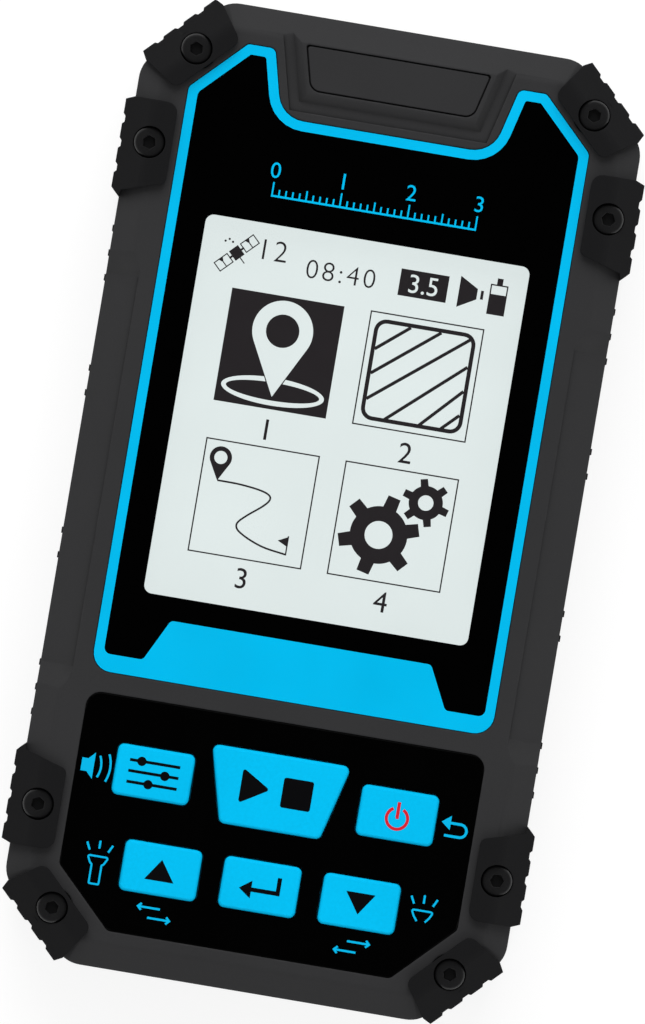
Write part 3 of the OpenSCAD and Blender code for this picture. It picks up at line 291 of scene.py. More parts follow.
def stroke(points, width, closed=False):
    """Loops round a line of that width: one loop, or an outer and an inner one if it is closed."""
    pts = [Vector(p) for p in points]
    last = len(pts) - 1
    left, right = [], []
    for i, p in enumerate(pts):
        before = (p - pts[i - 1]).normalized() if i or closed else None
        after = (pts[(i + 1) % len(pts)] - p).normalized() if i < last or closed else None
        before = before or after
        after = after or before
        along = (before + after).normalized()
        side = Vector((-along.y, along.x)) * (width / 2 / max(along.dot(before), MITRE))
        left.append(p + side)
        right.append(p - side)
    if not closed:
        return [left + right[::-1]]
    return sorted((left, right), key=lambda loop: -abs(loop_area(loop)))


# Solids and pieces

# How far the large faces lead the shading of a piece: 50 is neutral and 100 is most
EVEN_WEIGHT = 60


def loft(bm, rings, holes=()):
    """Closed solid through rings of (outline, height), with upright holes through it."""
    ring_verts = [[bm.verts.new((p[0], p[1], z)) for p in outline] for outline, z in rings]
    bottom, top = rings[0][1], rings[-1][1]
    hole_low = [[bm.verts.new((p[0], p[1], bottom)) for p in hole] for hole in holes]
    hole_high = [[bm.verts.new((p[0], p[1], top)) for p in hole] for hole in holes]
    for low, high in [*zip(ring_verts, ring_verts[1:]), *zip(hole_low, hole_high)]:
        for i in range(len(low)):
            bm.faces.new((low[i - 1], low[i], high[i], high[i - 1]))
    for loops in ([ring_verts[0], *hole_low], [ring_verts[-1], *hole_high]):
        flat = [v for loop in loops for v in loop]
        for tri in tessellate_polygon([[Vector((v.co.x, v.co.y, 0)) for v in loop] for loop in loops]):
            corners = [flat[i] for i in tri]
            if len(set(corners)) == 3:
                bm.faces.new(corners)


def to_mesh(name, bm, scale=MM):
    """Mesh in metres with its faces outwards, from a bmesh that is in millimetres unless scale is 1."""
    bmesh.ops.recalc_face_normals(bm, faces=bm.faces)
    mesh = bpy.data.meshes.new(name)
    bm.to_mesh(mesh)
    bm.free()
    mesh.transform(Matrix.Scale(scale, 4))
    return mesh


def solid(name, rings, holes=()):
    """Mesh in metres of a loft."""
    bm = bmesh.new()
    loft(bm, rings, holes)
    return to_mesh(name, bm)


def add_object(name, data):
    """A new object in the scene."""
    obj = bpy.data.objects.new(name, data)
    bpy.context.scene.collection.objects.link(obj)
    return obj


def place_mesh(name, mesh, finish, body="housing", replaces=(), smooth_angle=None):
    """Links a mesh in metres as a piece that rides on a body, with the finish under that label."""
    mesh.materials.clear()
    mesh.materials.append(finish_of(finish))
    obj = add_object(name, mesh)
    if smooth_angle:
        mesh.shade_smooth()
        mesh.set_sharp_from_angle(angle=math.radians(smooth_angle))
        weigh = obj.modifiers.new("Even shading", "WEIGHTED_NORMAL")
        weigh.keep_sharp = True
        weigh.weight = EVEN_WEIGHT
        bake_modifiers(obj)
    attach(obj, body)
    if replaces:
        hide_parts(*replaces)
    return obj


def bake_modifiers(obj):
    """Turns what the modifiers make into the object's own plain mesh."""
    depsgraph = bpy.context.evaluated_depsgraph_get()
    old = obj.data
    obj.data = bpy.data.meshes.new_from_object(obj.evaluated_get(depsgraph), depsgraph=depsgraph)
    obj.data.name = obj.name
    obj.modifiers.clear()
    bpy.data.meshes.remove(old)


class Print:
    """Thin printed marks on a plane, gathered shape by shape. Each shape lies a hair above the last."""

    # In millimetres: thickness of a mark, and what every further shape is higher
    thickness = 0.02
    hair = 0.0006

    def __init__(self, z):
        self.bm = bmesh.new()
        self.z, self.count = z, 0

    def fill(self, outline, holes=(), raise_by=0.0):
        self.count += 1
        low = self.z + raise_by
        loft(self.bm, [(outline, low), (outline, low + self.thickness + self.hair * self.count)], holes)

    def box(self, x, y, w, h, r=0):
        self.fill(rounded(box_rows(x, y, w, h, r)))

    def line(self, points, width, closed=False):
        loops = stroke(points, width, closed)
        self.fill(loops[0], loops[1:])

    def arrow(self, tail, tip, width, head):
        """Arrow with an open two-stroke head."""
        tail, tip = Vector(tail), Vector(tip)
        back = (tail - tip).normalized()
        side = Vector((-back.y, back.x))
        self.line([tail, tip + back * width * 0.7], width)
        self.line([tip + (back + side) * head, tip, tip + (back - side) * head], width)

    def figures(self, text, height, x, y, weight=0.0, spacing=1.0):
        """Plain figures of that height, centred on (x, y). A weight below 0 makes them lighter."""
        curve = bpy.data.curves.new("figures", "FONT")
        curve.body, curve.align_x, curve.resolution_u = text, "CENTER", 4
        curve.offset, curve.space_character = weight, spacing
        holder = bpy.data.objects.new("figures", curve)
        mesh = bpy.data.meshes.new_from_object(holder)
        low = [min(v.co[k] for v in mesh.vertices) for k in (0, 1)]
        high = [max(v.co[k] for v in mesh.vertices) for k in (0, 1)]
        factor = height / (high[1] - low[1])
        flat = bmesh.new()
        flat.from_mesh(mesh)
        bmesh.ops.remove_doubles(flat, verts=flat.verts, dist=1e-4)
        for v in flat.verts:
            v.co.x = (v.co.x - (low[0] + high[0]) / 2) * factor + x
            v.co.y = (v.co.y - (low[1] + high[1]) / 2) * factor + y
            v.co.z = self.z
        raised = bmesh.ops.extrude_face_region(flat, geom=flat.faces[:])["geom"]
        for v in raised:
            if isinstance(v, bmesh.types.BMVert):
                v.co.z += self.thickness
        flat.to_mesh(mesh)
        flat.free()
        self.bm.from_mesh(mesh)
        bpy.data.objects.remove(holder)
        bpy.data.curves.remove(curve)
        bpy.data.meshes.remove(mesh)

    def piece(self, name, finish, slot, body="housing"):
        place_mesh(name, to_mesh(name, self.bm), finish, body)


# Copies of CAD nodes

# Vertices of a CAD mesh that are closer than this, in metres, are one
TOUCH = 2e-6
# Angle in degrees under which faces of a CAD mesh count as one plane
FLAT = 0.4
# Angle in degrees under which the facets of a curve shade as one
CURVE_STEP = 15
# The same for a piece with rounded edges, whose new faces shade smooth too
ROUND_STEP = 32
# Least turn of an edge in degrees for it to be rounded
EDGE_TURN = 26
# Distance above an edge, in metres, from which the way out is looked along
ABOVE = 0.00006


def all_round():
    """Search tree of every CAD node at rest, which tells inner edges from outer ones."""
    points, faces = [], []
    for obj in frame["nodes"].values():
        start = len(points)
        points.extend(v.co.copy() for v in obj.data.vertices)
        faces.extend([start + i for i in p.vertices] for p in obj.data.polygons)
    return BVHTree.FromPolygons(points, faces)


SURROUND = all_round()


def open_edge(edge):
    """True for a convex edge that faces out into the open."""
    if len(edge.link_faces) != 2 or not edge.is_convex or edge.calc_face_angle(0) < math.radians(EDGE_TURN):
        return False
    way = (edge.link_faces[0].normal + edge.link_faces[1].normal).normalized()
    middle = (edge.verts[0].co + edge.verts[1].co) / 2
    return SURROUND.ray_cast(middle + way * ABOVE, way)[0] is None


def merged_copy(node):
    """The CAD node's faces as a bmesh in metres, joined where they meet and where they lie in one plane."""
    bm = bmesh.new()
    bm.from_mesh(frame["nodes"][node].data)
    bmesh.ops.remove_doubles(bm, verts=bm.verts, dist=TOUCH)
    bmesh.ops.dissolve_limit(bm, angle_limit=math.radians(FLAT), verts=bm.verts, edges=bm.edges)
    return bm


def polish(node, name, slot):
    """A copy of a CAD node, with its curves shaded smooth, stands for it. Its finish rounds the edges."""
    mesh = to_mesh(name, merged_copy(node), scale=1)
    return place_mesh(name, mesh, slot, replaces=[node], smooth_angle=CURVE_STEP)


def soften(node, name, slot, radius, body="housing", segments=2):
    """A copy of a CAD node with its open edges rounded stands for the node."""
    bm = merged_copy(node)
    bm.normal_update()
    edges = [e for e in bm.edges if open_edge(e)]
    bmesh.ops.bevel(
        bm, geom=edges, offset=radius, offset_type="OFFSET", segments=segments, profile=0.5,
        affect="EDGES", clamp_overlap=False, loop_slide=True,
    )
    place_mesh(name, to_mesh(name, bm, scale=1), slot, body=body, replaces=[node], smooth_angle=ROUND_STEP)


# Node trees


class Tree:
    """Adds nodes to a node tree. An input takes a plain value or another node's output."""

    def __init__(self, tree):
        self.tree = tree
        tree.nodes.clear()

    def node(self, kind, inputs=None, **values):
        """A node with these attributes, and inputs by name or place."""
        made = self.tree.nodes.new(kind)
        for key, value in values.items():
            setattr(made, key, value)
        for key, value in (inputs or {}).items():
            socket = made.inputs[key]
            if isinstance(value, bpy.types.NodeSocket):
                self.tree.links.new(value, socket)
            elif socket.type == "RGBA":
                socket.default_value = (*value, 1)
            else:
                socket.default_value = value
        return made

    def calc(self, operation, a, b):
        """What a math node makes of two values."""
        return self.node("ShaderNodeMath", {0: a, 1: b}, operation=operation).outputs[0]

    def ranged(self, value, low=0, high=1, start=0.3, end=0.7):
        """Maps start to end onto low to high."""
        return self.node("ShaderNodeMapRange", {0: value, 1: start, 2: end, 3: low, 4: high}).outputs[0]

    def seen(self):
        """1 for rays from the camera, from gloss or through glass."""
        path = self.node("ShaderNodeLightPath").outputs
        most = self.calc("MAXIMUM", path["Is Camera Ray"], path["Is Glossy Ray"])
        return self.calc("MAXIMUM", most, path["Is Transmission Ray"])


class Finish(Tree):
    """A procedural material on Object coordinates."""

    def __init__(self, name):
        self.material = bpy.data.materials.new(name)
        self.material.use_nodes = True
        super().__init__(self.material.node_tree)
        self.place = self.node("ShaderNodeTexCoord").outputs["Object"]

    def made(self, **sockets):
        """The material with these sockets of its shader, which are named with _ for a space."""
        inputs = {key.replace("_", " "): value for key, value in sockets.items()}
        shader = self.node("ShaderNodeBsdfPrincipled", inputs)
        self.node("ShaderNodeOutputMaterial", {"Surface": shader.outputs["BSDF"]})
        return self.material

    def noise(self, grain, detail=2.0, stretch=(1, 1, 1), rough=0.5):
        """Noise whose features are about that many millimetres across."""
        across = self.node("ShaderNodeMapping", {"Vector": self.place, "Scale": stretch}).outputs[0]
        inputs = {"Vector": across, "Scale": 1 / (grain * MM), "Detail": detail, "Roughness": rough}
        return self.node("ShaderNodeTexNoise", inputs).outputs["Fac"]

    def blend(self, factor, a, b):
        """Colour between a and b."""
        return self.node("ShaderNodeMix", {0: factor, 6: a, 7: b}, data_type="RGBA").outputs[2]

    def tones(self, factor, colour, low, high):
        """Colour between two shades of one colour."""
        return self.blend(factor, shade(colour, low), shade(colour, high))

    def bump(self, height, depth, strength, under=None):
        """Normal of a relief that is depth millimetres high, over the normal under it."""
        inputs = {"Height": height, "Distance": depth * MM, "Strength": strength}
        if under:
            inputs["Normal"] = under
        return self.node("ShaderNodeBump", inputs).outputs[0]

    def rounded_edge(self, radius):
        """Normal that rounds the edges by that many millimetres, and how far it turns there."""
        edge = self.node("ShaderNodeBevel", {"Radius": radius * MM}, samples=6).outputs[0]
        flat = self.node("ShaderNodeNewGeometry").outputs["Normal"]
        across = self.node("ShaderNodeVectorMath", {0: edge, 1: flat}, operation="DOT_PRODUCT")
        return edge, self.ranged(across.outputs["Value"], 1, 0, 0.86, 0.985)

    def openness(self, reach):
        """1 on open faces, down to 0 in the piece's own grooves and inner corners: the mask for the shade
        that is painted there.
        """
        near = self.node("ShaderNodeAmbientOcclusion", {"Distance": reach * MM}, samples=6, only_local=True)
        return self.ranged(near.outputs["AO"], 0, 1, 0.7, 0.98)


# Finishes

# How much lighter a rubbed edge is than its piece, and how much darker the shade painted into a narrow hollow
# makes it
RUBBED = 1.6
PAINTED_HOLLOW_SHADE = 0.4
# Width in millimetres up to which a hollow gets painted shade
PAINTED_SHADE_REACH = 3


def shade(colour, factor):
    """The colour, lighter or darker by that factor."""
    return tuple(min(1.0, c * factor) for c in colour)


def moulded(name, colour, roughness, grain, relief, specular=0.3, edge=0.0):
    """Moulded plastic or rubber with a fine grain. An edge adds rounded, rubbed edges and painted shade in
    its hollows.
    """
    f = Finish(name)
    blotch = f.noise(22, detail=3)
    fine = f.noise(grain, rough=0.6)
    ground = f.tones(f.ranged(blotch), colour, 0.93, 1.07)
    speck = f.tones(f.ranged(fine, 0, 1, 0.35, 0.65), colour, 0.96, 1.05)
    tone = f.blend(f.ranged(f.noise(6), 0.3, 0.6), ground, speck)
    normal = None
    if edge:
        normal, turned_away = f.rounded_edge(edge)
        patches = f.ranged(f.noise(1.6, detail=3), 0.1, 0.7, 0.4, 0.65)
        tone = f.blend(f.calc("MULTIPLY", turned_away, patches), tone, shade(colour, RUBBED))
        # Painted shade: the colour darkens in the piece's own grooves and inner corners
        tone = f.blend(f.openness(PAINTED_SHADE_REACH), shade(colour, PAINTED_HOLLOW_SHADE), tone)
    return f.made(
        Base_Color=tone, Specular_IOR_Level=specular,
        Roughness=f.ranged(blotch, roughness - 0.04, roughness + 0.05),
        Normal=f.bump(fine, relief, 0.8, f.bump(blotch, 0.03, 0.3, normal)),
    )


def glossy(name, colour, roughness, specular, haze=0.05):
    """Smooth printed film or glass: faint wipe marks in the gloss."""
    f = Finish(name)
    wipe = f.noise(9, detail=4, stretch=(1, 0.35, 1))
    return f.made(
        Base_Color=f.tones(f.ranged(f.noise(14)), colour, 0.96, 1.03), Specular_IOR_Level=specular,
        Roughness=f.ranged(wipe, roughness, roughness + haze), Normal=f.bump(f.noise(3), 0.002, 0.4),
    )


def lit_screen(name, colour, glow):
    """Screen that shows by its own glow, as a backlit screen does, and by the light on it. The glow is set so
    high that it also paints out the shadow of the lens frame on the screen.
    """
    f = Finish(name)
    cloud = f.ranged(f.noise(16))
    return f.made(
        Base_Color=f.tones(cloud, colour, 0.975 * (1 - glow), 1.01 * (1 - glow)), Specular_IOR_Level=0.2,
        Emission_Color=f.tones(cloud, colour, 0.98, 1.01), Emission_Strength=glow,
        Roughness=f.ranged(f.noise(2), 0.42, 0.5),
    )


def metal(name, colour, roughness, brush=(1, 1, 1), grain=0.4, relief=0.004, metallic=1.0):
    """Metal with fine tool marks, drawn out along the axes on which brush is small."""
    f = Finish(name)
    marks = f.noise(grain, detail=3, stretch=brush)
    return f.made(
        Base_Color=f.tones(f.ranged(marks), colour, 0.85, 1.1), Metallic=metallic,
        Roughness=f.ranged(marks, roughness - 0.06, roughness + 0.08), Normal=f.bump(marks, relief, 0.6),
    )


def clear(name, colour, opacity, roughness=0.06):
    """Clear pane or lens, see-through by its alpha."""
    f = Finish(name)
    return f.made(
        Base_Color=f.tones(f.ranged(f.noise(7)), colour, 0.97, 1), Specular_IOR_Level=0.5,
        Roughness=f.ranged(f.noise(5, detail=3), roughness, roughness + 0.05), Alpha=opacity,
    )


def circuit_board(name):
    """Solder mask over copper tracks."""
    f = Finish(name)
    inputs = {"Vector": f.place, "Scale": 260.0, "Mortar Size": 0.07, "Mortar Smooth": 0.3}
    tracks = f.node("ShaderNodeTexBrick", inputs, offset=0.35, squash=0.6)
    raised = f.ranged(tracks.outputs["Fac"], 0, 1, 0, 1)
    return f.made(
        Base_Color=f.blend(raised, (0.010, 0.085, 0.035), (0.030, 0.170, 0.070)), Coat_Weight=0.3,
        Roughness=f.ranged(f.noise(4), 0.3, 0.42), Normal=f.bump(raised, 0.03, 0.7),
    )


def foam_rubber(name):
    """Open-celled foam."""
    f = Finish(name)
    pores = f.node("ShaderNodeTexVoronoi", {"Vector": f.place, "Scale": 1 / (0.45 * MM)}).outputs["Distance"]
    return f.made(
        Base_Color=f.blend(f.ranged(pores, 0, 1, 0.1, 0.7), (0.035, 0.038, 0.040), (0.11, 0.115, 0.12)),
        Roughness=0.95, Specular_IOR_Level=0.1, Normal=f.bump(pores, 0.15, 0.9),
    )


def sleeve(name):
    """Shrink sleeve of a battery, tight over its edges with fine wrinkles."""
    f = Finish(name)
    folds = f.noise(3.5, detail=4, stretch=(1, 0.2, 1))
    return f.made(
        Base_Color=f.blend(f.ranged(folds), (0.020, 0.085, 0.21), (0.032, 0.12, 0.28)),
        Roughness=f.ranged(folds, 0.28, 0.4), Normal=f.bump(folds, 0.05, 0.5),
    )


def make_finishes():
    """Every finish: those of the record's slots under the slot's name, and then the prints."""
    shell, display, keypad = settings().shell, settings().display, settings().keypad
    grain = shell.grain / MM
    return {
        "housing": moulded(
            "Moulded dark plastic", shell.plastic, 0.56, grain, 0.012, specular=0.1, edge=shell.edge / MM
        ),
        "plate": moulded("Inlaid plate", shell.plate, 0.5, grain * 0.6, relief=0.005, specular=0.1),
        "rubber": moulded(
            "Black rubber", shell.rubber, 0.7, grain * 0.8, 0.016, specular=0.12, edge=shell.rubber_edge / MM
        ),
        "lens": glossy("Black print under the lens", display.black, roughness=0.07, specular=0.3),
        "overlay": glossy("Black keypad film", display.black, roughness=0.2, specular=0.2, haze=0.08),
        "keycap": moulded("Blue key", keypad.cap, roughness=0.5, grain=0.5, relief=0.004, specular=0.06),
        "tape": moulded("Black tape", (0.010, 0.010, 0.010), roughness=0.8, grain=0.4, relief=0.01),
        "screen": lit_screen("Screen ground", display.paper, display.glow),
        "white": moulded("White plastic", (0.72, 0.73, 0.74), roughness=0.5, grain=0.5, relief=0.006),
        "silicone": moulded("Milky silicone", (0.66, 0.67, 0.68), roughness=0.55, grain=0.6, relief=0.008),
        "copper": metal("Amber flexible strip", (0.42, 0.17, 0.035), 0.38, (1, 0.1, 1), 0.8, 0.003, 0.2),
        "beige": moulded("Beige connector", (0.62, 0.57, 0.46), roughness=0.5, grain=0.4, relief=0.006),
        "board": circuit_board("Green circuit board"),
        "chip": moulded("Chip package", (0.012, 0.012, 0.013), roughness=0.6, grain=0.25, relief=0.006),
        "steel": metal("Plated steel", (0.62, 0.63, 0.64), roughness=0.3, brush=(1, 0.08, 1)),
        "screw": metal("Blackened steel", (0.009, 0.009, 0.0095), 0.36, (1, 1, 1), 0.2, 0.002, 0.0),
        "brass": metal("Turned brass", (0.60, 0.43, 0.16), roughness=0.32, brush=(1, 1, 0.1)),
        "ceramic": moulded("Sintered ceramic", (0.46, 0.34, 0.20), roughness=0.7, grain=0.3, relief=0.012),
        "mirror": metal("Bright mirror", (0.86, 0.87, 0.88), roughness=0.12, grain=1.0, relief=0.001),
        "window": clear("Clear lens", (0.8, 0.87, 0.9), opacity=0.32),
        "diffuser": moulded("Frosted diffuser", (0.60, 0.62, 0.63), 0.45, 0.5, 0.006, specular=0.4),
        "led": moulded("Light emitter", (0.80, 0.66, 0.16), 0.4, 0.4, 0.01, specular=0.4),
        "cell": sleeve("Battery sleeve"),
        "foam": foam_rubber("Foam"),
        "clear window": clear("Clear window", (0.02, 0.02, 0.022), opacity=0.03, roughness=0.05),
        "lens print": glossy("Blue print", display.blue, roughness=0.12, specular=0.15),
        "plate print": glossy("Blue plate print", display.blue, roughness=0.22, specular=0.15),
        "key print": glossy("Black key print", keypad.legend, roughness=0.4, specular=0.2),
        "power print": glossy("Red key print", keypad.power, roughness=0.35, specular=0.2),
        "screen ink": lit_screen("Screen ink", display.ink, display.glow),
    }


FINISHES = {}


def finish_of(label):
    """The finish under that label. They are all made on first use."""
    if not FINISHES:
        FINISHES.update(make_finishes())
    return FINISHES[label]


# Geometry Nodes


class Repeater(Tree):
    """A Geometry Nodes group with named inputs. It ends in Realize Instances and Set Material."""

    def __init__(self, name, *inputs):
        super().__init__(bpy.data.node_groups.new(name, "GeometryNodeTree"))
        face = self.tree.interface
        for label, kind, default in (("Geometry", "Geometry", None), *inputs, ("Finish", "Material", None)):
            socket = face.new_socket(label, in_out="INPUT", socket_type="NodeSocket" + kind)
            if default is not None:
                socket.default_value = default
        face.new_socket("Geometry", in_out="OUTPUT", socket_type="NodeSocketGeometry")
        self.start = self.node("NodeGroupInput")

    def given(self, label):
        """What an input of the group gives."""
        return self.start.outputs[label]

    def vector(self, **parts):
        return self.node("ShaderNodeCombineXYZ", parts).outputs[0]

    def shape(self, label):
        """Shape of the object that an input names."""
        return self.node("GeometryNodeObjectInfo", {"Object": self.given(label)}).outputs["Geometry"]

    def stand(self, points, shape, **sockets):
        """Ends the group with the shape on every point."""
        inputs = {"Points": points, "Instance": shape, **sockets}
        placed = self.node("GeometryNodeInstanceOnPoints", inputs)
        real = self.node("GeometryNodeRealizeInstances", {0: placed.outputs[0]})
        painted = self.node("GeometryNodeSetMaterial", {0: real.outputs[0], "Material": self.given("Finish")})
        self.node("NodeGroupOutput", {0: painted.outputs[0]})
        return self

    def make(self, name, points, values, finish, slot=None, replaces=(), smooth_angle=30):
        """Runs the group on points in metres and keeps the result as a plain piece."""
        holder = add_object(name, points)
        modifier = holder.modifiers.new(self.tree.name, "NODES")
        modifier.node_group = self.tree
        values = {**values, "Finish": finish_of(finish)}
        for item in self.tree.interface.items_tree:
            if item.in_out == "INPUT" and item.name in values:
                modifier[item.identifier] = values[item.name]
        depsgraph = bpy.context.evaluated_depsgraph_get()
        mesh = bpy.data.meshes.new_from_object(holder.evaluated_get(depsgraph), depsgraph=depsgraph)
        holder.modifiers.clear()
        bpy.data.objects.remove(holder)
        bpy.data.meshes.remove(points)
        if not mesh.polygons:
            raise RuntimeError(f"{name} came out empty")
        mesh.name = name
        place_mesh(name, mesh, finish, replaces=replaces, smooth_angle=smooth_angle)


def point_mesh(points):
    """Mesh of bare points, given in millimetres."""
    mesh = bpy.data.meshes.new("points")
    mesh.from_pydata([tuple(c * MM for c in p) for p in points], [], [])
    return mesh


def discard(obj):
    """Removes an object that a group repeated, and its mesh."""
    mesh = obj.data
    bpy.data.objects.remove(obj)
    bpy.data.meshes.remove(mesh)


def fastener_set():
    """Stands a fastener on every point of the base mesh, each turned by its own seeded angle."""
    labels = ("Fastener", "Object", None), ("Turn", "Float", math.tau), ("Seed", "Int", 7)
    tree = Repeater("Fastener set", *labels)
    inputs = {3: tree.given("Turn"), "Seed": tree.given("Seed")}
    angle = tree.node("FunctionNodeRandomValue", inputs).outputs[1]
    return tree.stand(tree.given("Geometry"), tree.shape("Fastener"), Rotation=tree.vector(Z=angle))


def mark_row():
    """A row of marks along X, with a longer one at every fifth and a still longer one at every tenth."""
    lengths = [(label, "Float", 0.001) for label in ("Width", "Short", "Middle", "Long", "Thickness")]
    row = ("Count", "Int", 31), ("Pitch", "Float", 0.001), ("Start", "Vector", None)
    tree = Repeater("Graduated scale", *row, *lengths)
    index = tree.node("GeometryNodeInputIndex").outputs[0]

    def every(number, low, high):
        """low at the marks that the number divides, high elsewhere."""
        plain = tree.calc("GREATER_THAN", tree.calc("MODULO", index, float(number)), 0.5)
        inputs = {"Switch": plain, "False": low, "True": high}
        return tree.node("GeometryNodeSwitch", inputs, input_type="FLOAT").outputs[0]

    tall = every(10, tree.given("Long"), every(5, tree.given("Middle"), tree.given("Short")))
    step = tree.vector(X=tree.given("Pitch"))
    inputs = {"Count": tree.given("Count"), "Start Location": tree.given("Start"), "Offset": step}
    line = tree.node("GeometryNodeMeshLine", inputs)
    block = tree.node("GeometryNodeMeshCube", {"Size": (1, 1, 1)})
    standing = tree.node("GeometryNodeTransform", {0: block.outputs[0], "Translation": (0, 0.5, 0.5)})
    scale = tree.vector(X=tree.given("Width"), Y=tall, Z=tree.given("Thickness"))
    return tree.stand(line.outputs[0], standing.outputs[0], Scale=scale)


def rib_row():
    """Stands a rib on every point of the base mesh, as far up and down as the point's own reach says."""
    tree = Repeater("Rib row", ("Rib", "Object", None), ("Rise", "Float", 1.0))
    reach = tree.node("GeometryNodeInputNamedAttribute", {"Name": "reach"}, data_type="FLOAT")
    scale = tree.vector(X=1.0, Y=tree.given("Rise"), Z=reach.outputs["Attribute"])
    return tree.stand(tree.given("Geometry"), tree.shape("Rib"), Scale=scale)


# Fasteners


def hexagon(across, count=24):
    """Radius of a hexagon at each of count angles."""
    step = math.pi / 3
    return [across / 2 / math.cos((math.tau * k / count) % step - step / 2) for k in range(count)]


def cross(length, width, count):
    """Radius of a cross-shaped slot at each of count angles."""
    out = []
    for k in range(count):
        c = abs(math.cos(math.tau * k / count)) + 1e-6
        s = abs(math.sin(math.tau * k / count)) + 1e-6
        out.append(max(min(length / c, width / s), min(width / c, length / s)))
    return out


def turned(name, rows, count=24):
    """A turned solid through rows of (radius or list of radii, height), closed at both ends."""
    bm = bmesh.new()
    angles = [math.tau * k / count for k in range(count)]
    rings = []
    for radius, z in rows:
        radii = radius if isinstance(radius, list) else [radius] * count
        rings.append([bm.verts.new((r * math.cos(a), r * math.sin(a), z)) for r, a in zip(radii, angles)])
    for low, high in zip(rings, rings[1:]):
        for i in range(count):
            bm.faces.new((low[i - 1], low[i], high[i], high[i - 1]))
    for loop, z in ((rings[0], rows[0][1]), (rings[-1], rows[-1][1])):
        middle = bm.verts.new((0, 0, z))
        for i in range(count):
            bm.faces.new((loop[i - 1], loop[i], middle))
    return bpy.data.objects.new(name, to_mesh(name, bm))


def socket_screw(s, length):
    """Low round head with a rounded shoulder and a hexagon socket, its seat at height 0."""
    r, h = s.head / 2 / MM, s.head_h / MM
    wide, floor, shank = s.socket / MM, (s.head_h - s.socket_depth) / MM, s.shank / 2 / MM
    return turned(
        "Socket screw",
        [
            (shank - 0.3, -length), (shank, -length + 0.3), (shank, -0.2), (shank, 0), (r - 0.1, 0),
            (r, 0.1), (r, h - 0.4), (r - 0.03, h - 0.25), (r - 0.11, h - 0.12), (r - 0.24, h - 0.03),
            (r - 0.4, h), (hexagon(wide + 0.1), h), (hexagon(wide), h - 0.05), (hexagon(wide), floor),
            (0.3, floor),
        ],
    )


def cross_screw(head, head_h, shank, length):
    """Low head with a cross slot, which points down from its seat at height 0."""
    slot = cross(head * 0.29, head * 0.066, 32)
    floor = head_h * 0.5
    rows = [
        (shank * 0.2, -length), (shank / 2, -length + 0.6), (shank / 2, 0), (head / 2 - 0.08, 0),
        (head / 2, 0.08), (head / 2, head_h * 0.6), (head / 2 - 0.25, head_h * 0.9), (head / 2 - 0.5, head_h),
        ([x + 0.07 for x in slot], head_h), (slot, head_h - 0.1), ([x * 0.8 for x in slot], floor),
        (0.12, floor - 0.05),
    ]
    return turned("Cross screw", [(radius, -z) for radius, z in rows], 32)


def knurled_insert(radius, bore, length):
    """Threaded insert with a knurled outside and two plain bands."""
    count = 48
    knurl = [radius - (0.09 if k % 2 else 0.0) for k in range(count)]
    waist, band = radius - 0.22, length * 0.16
    return turned(
        "Knurled insert",
        [
            (bore, length), (bore + 0.12, length), (radius - 0.1, length), (knurl, length - 0.12),
            (knurl, length * 0.58), (waist, length * 0.56), (waist, length * 0.44), (knurl, length * 0.42),
            (knurl, band), (waist, band), (waist, 0), (bore, 0),
        ],
        count,
    )


def islands(node):
    """Lowest corner, highest corner of each separate solid of a CAD node, in millimetres."""
    bm = merged_copy(node)
    seen, found = set(), []
    for start in bm.verts:
        if start in seen:
            continue
        group, queue = [], [start]
        seen.add(start)
        while queue:
            v = queue.pop()
            group.append(v.co / MM)
            for e in v.link_edges:
                other = e.other_vert(v)
                if other not in seen:
                    seen.add(other)
                    queue.append(other)
        found.append(tuple(Vector(pick(p[k] for p in group) for k in range(3)) for pick in (min, max)))
    bm.free()
    return found


class AREAMETER_OT_fasteners(bpy.types.Operator):
    """Stand screws and threaded inserts at the places of the CAD solids"""

    bl_idname = "area_meter.fasteners"
    bl_label = "Screws and inserts"

    # Node, name of the piece, height of the head in millimetres, slot, and what is added to the seed
    crossed = (
        ("cover_screws", "cover_screw_set", 0.8, "screw", 1),
        ("main_board_screws", "main_board_screw_set", 1.2, "steel", 2),
        ("keypad_board_screws", "keypad_screw_set", 1.2, "steel", 2),
    )
    # How much wider the radius of an insert's bore is than that of the shank in it, in millimetres
    play = 0.04

    def execute(self, context):
        s = settings().fasteners
        tree, head_h = fastener_set(), s.head_h / MM
        low, high = islands("bumper_screws")[0]
        screw = socket_screw(s, high.z - low.z - head_h)
        self.stand_in(tree, "bumper_screws", "bumper_screw_set", screw, high.z - head_h, "screw", s.seed)
        for node, name, head_h, slot, more in self.crossed:
            low, high = islands(node)[0]
            screw = cross_screw(high.x - low.x, head_h, s.tap / MM, high.z - low.z - head_h)
            self.stand_in(tree, node, name, screw, low.z + head_h, slot, s.seed + more)
        low, high = islands("threaded_inserts")[0]
        insert = knurled_insert((high.x - low.x) / 2, s.shank / 2 / MM + self.play, high.z - low.z)
        self.stand_in(tree, "threaded_inserts", "threaded_insert_set", insert, low.z, "brass", s.seed + 3)
        return {"FINISHED"}

    def stand_in(self, tree, node, name, fastener, seat, slot, seed):
        """Stands the fastener, its seat at that height, in the place of every solid of the node."""
        places = sorted(((a.x + b.x) / 2, (a.y + b.y) / 2, seat) for a, b in islands(node))
        values = {"Fastener": fastener, "Turn": math.tau, "Seed": seed}
        tree.make(name, point_mesh(places), values, slot, replaces=[node])
        discard(fastener)


# Housing, bumpers and lamp window


class AREAMETER_OT_housing(bpy.types.Operator):
    """Finish the shells and the battery cover, and round the edges of the antenna plate and the port cover"""

    bl_idname = "area_meter.housing"
    bl_label = "Housing"

    def execute(self, context):
        s = settings().shell
        polish("front_housing", "front_shell", "housing")
        polish("rear_housing", "rear_shell", "housing")
        polish("battery_cover", "battery_door", "housing")
        soften("antenna_plate", "antenna_inlay", "plate", s.edge / 2)
        soften("port_cover", "port_flap", "rubber", s.edge, body="port_cover")
        return {"FINISHED"}


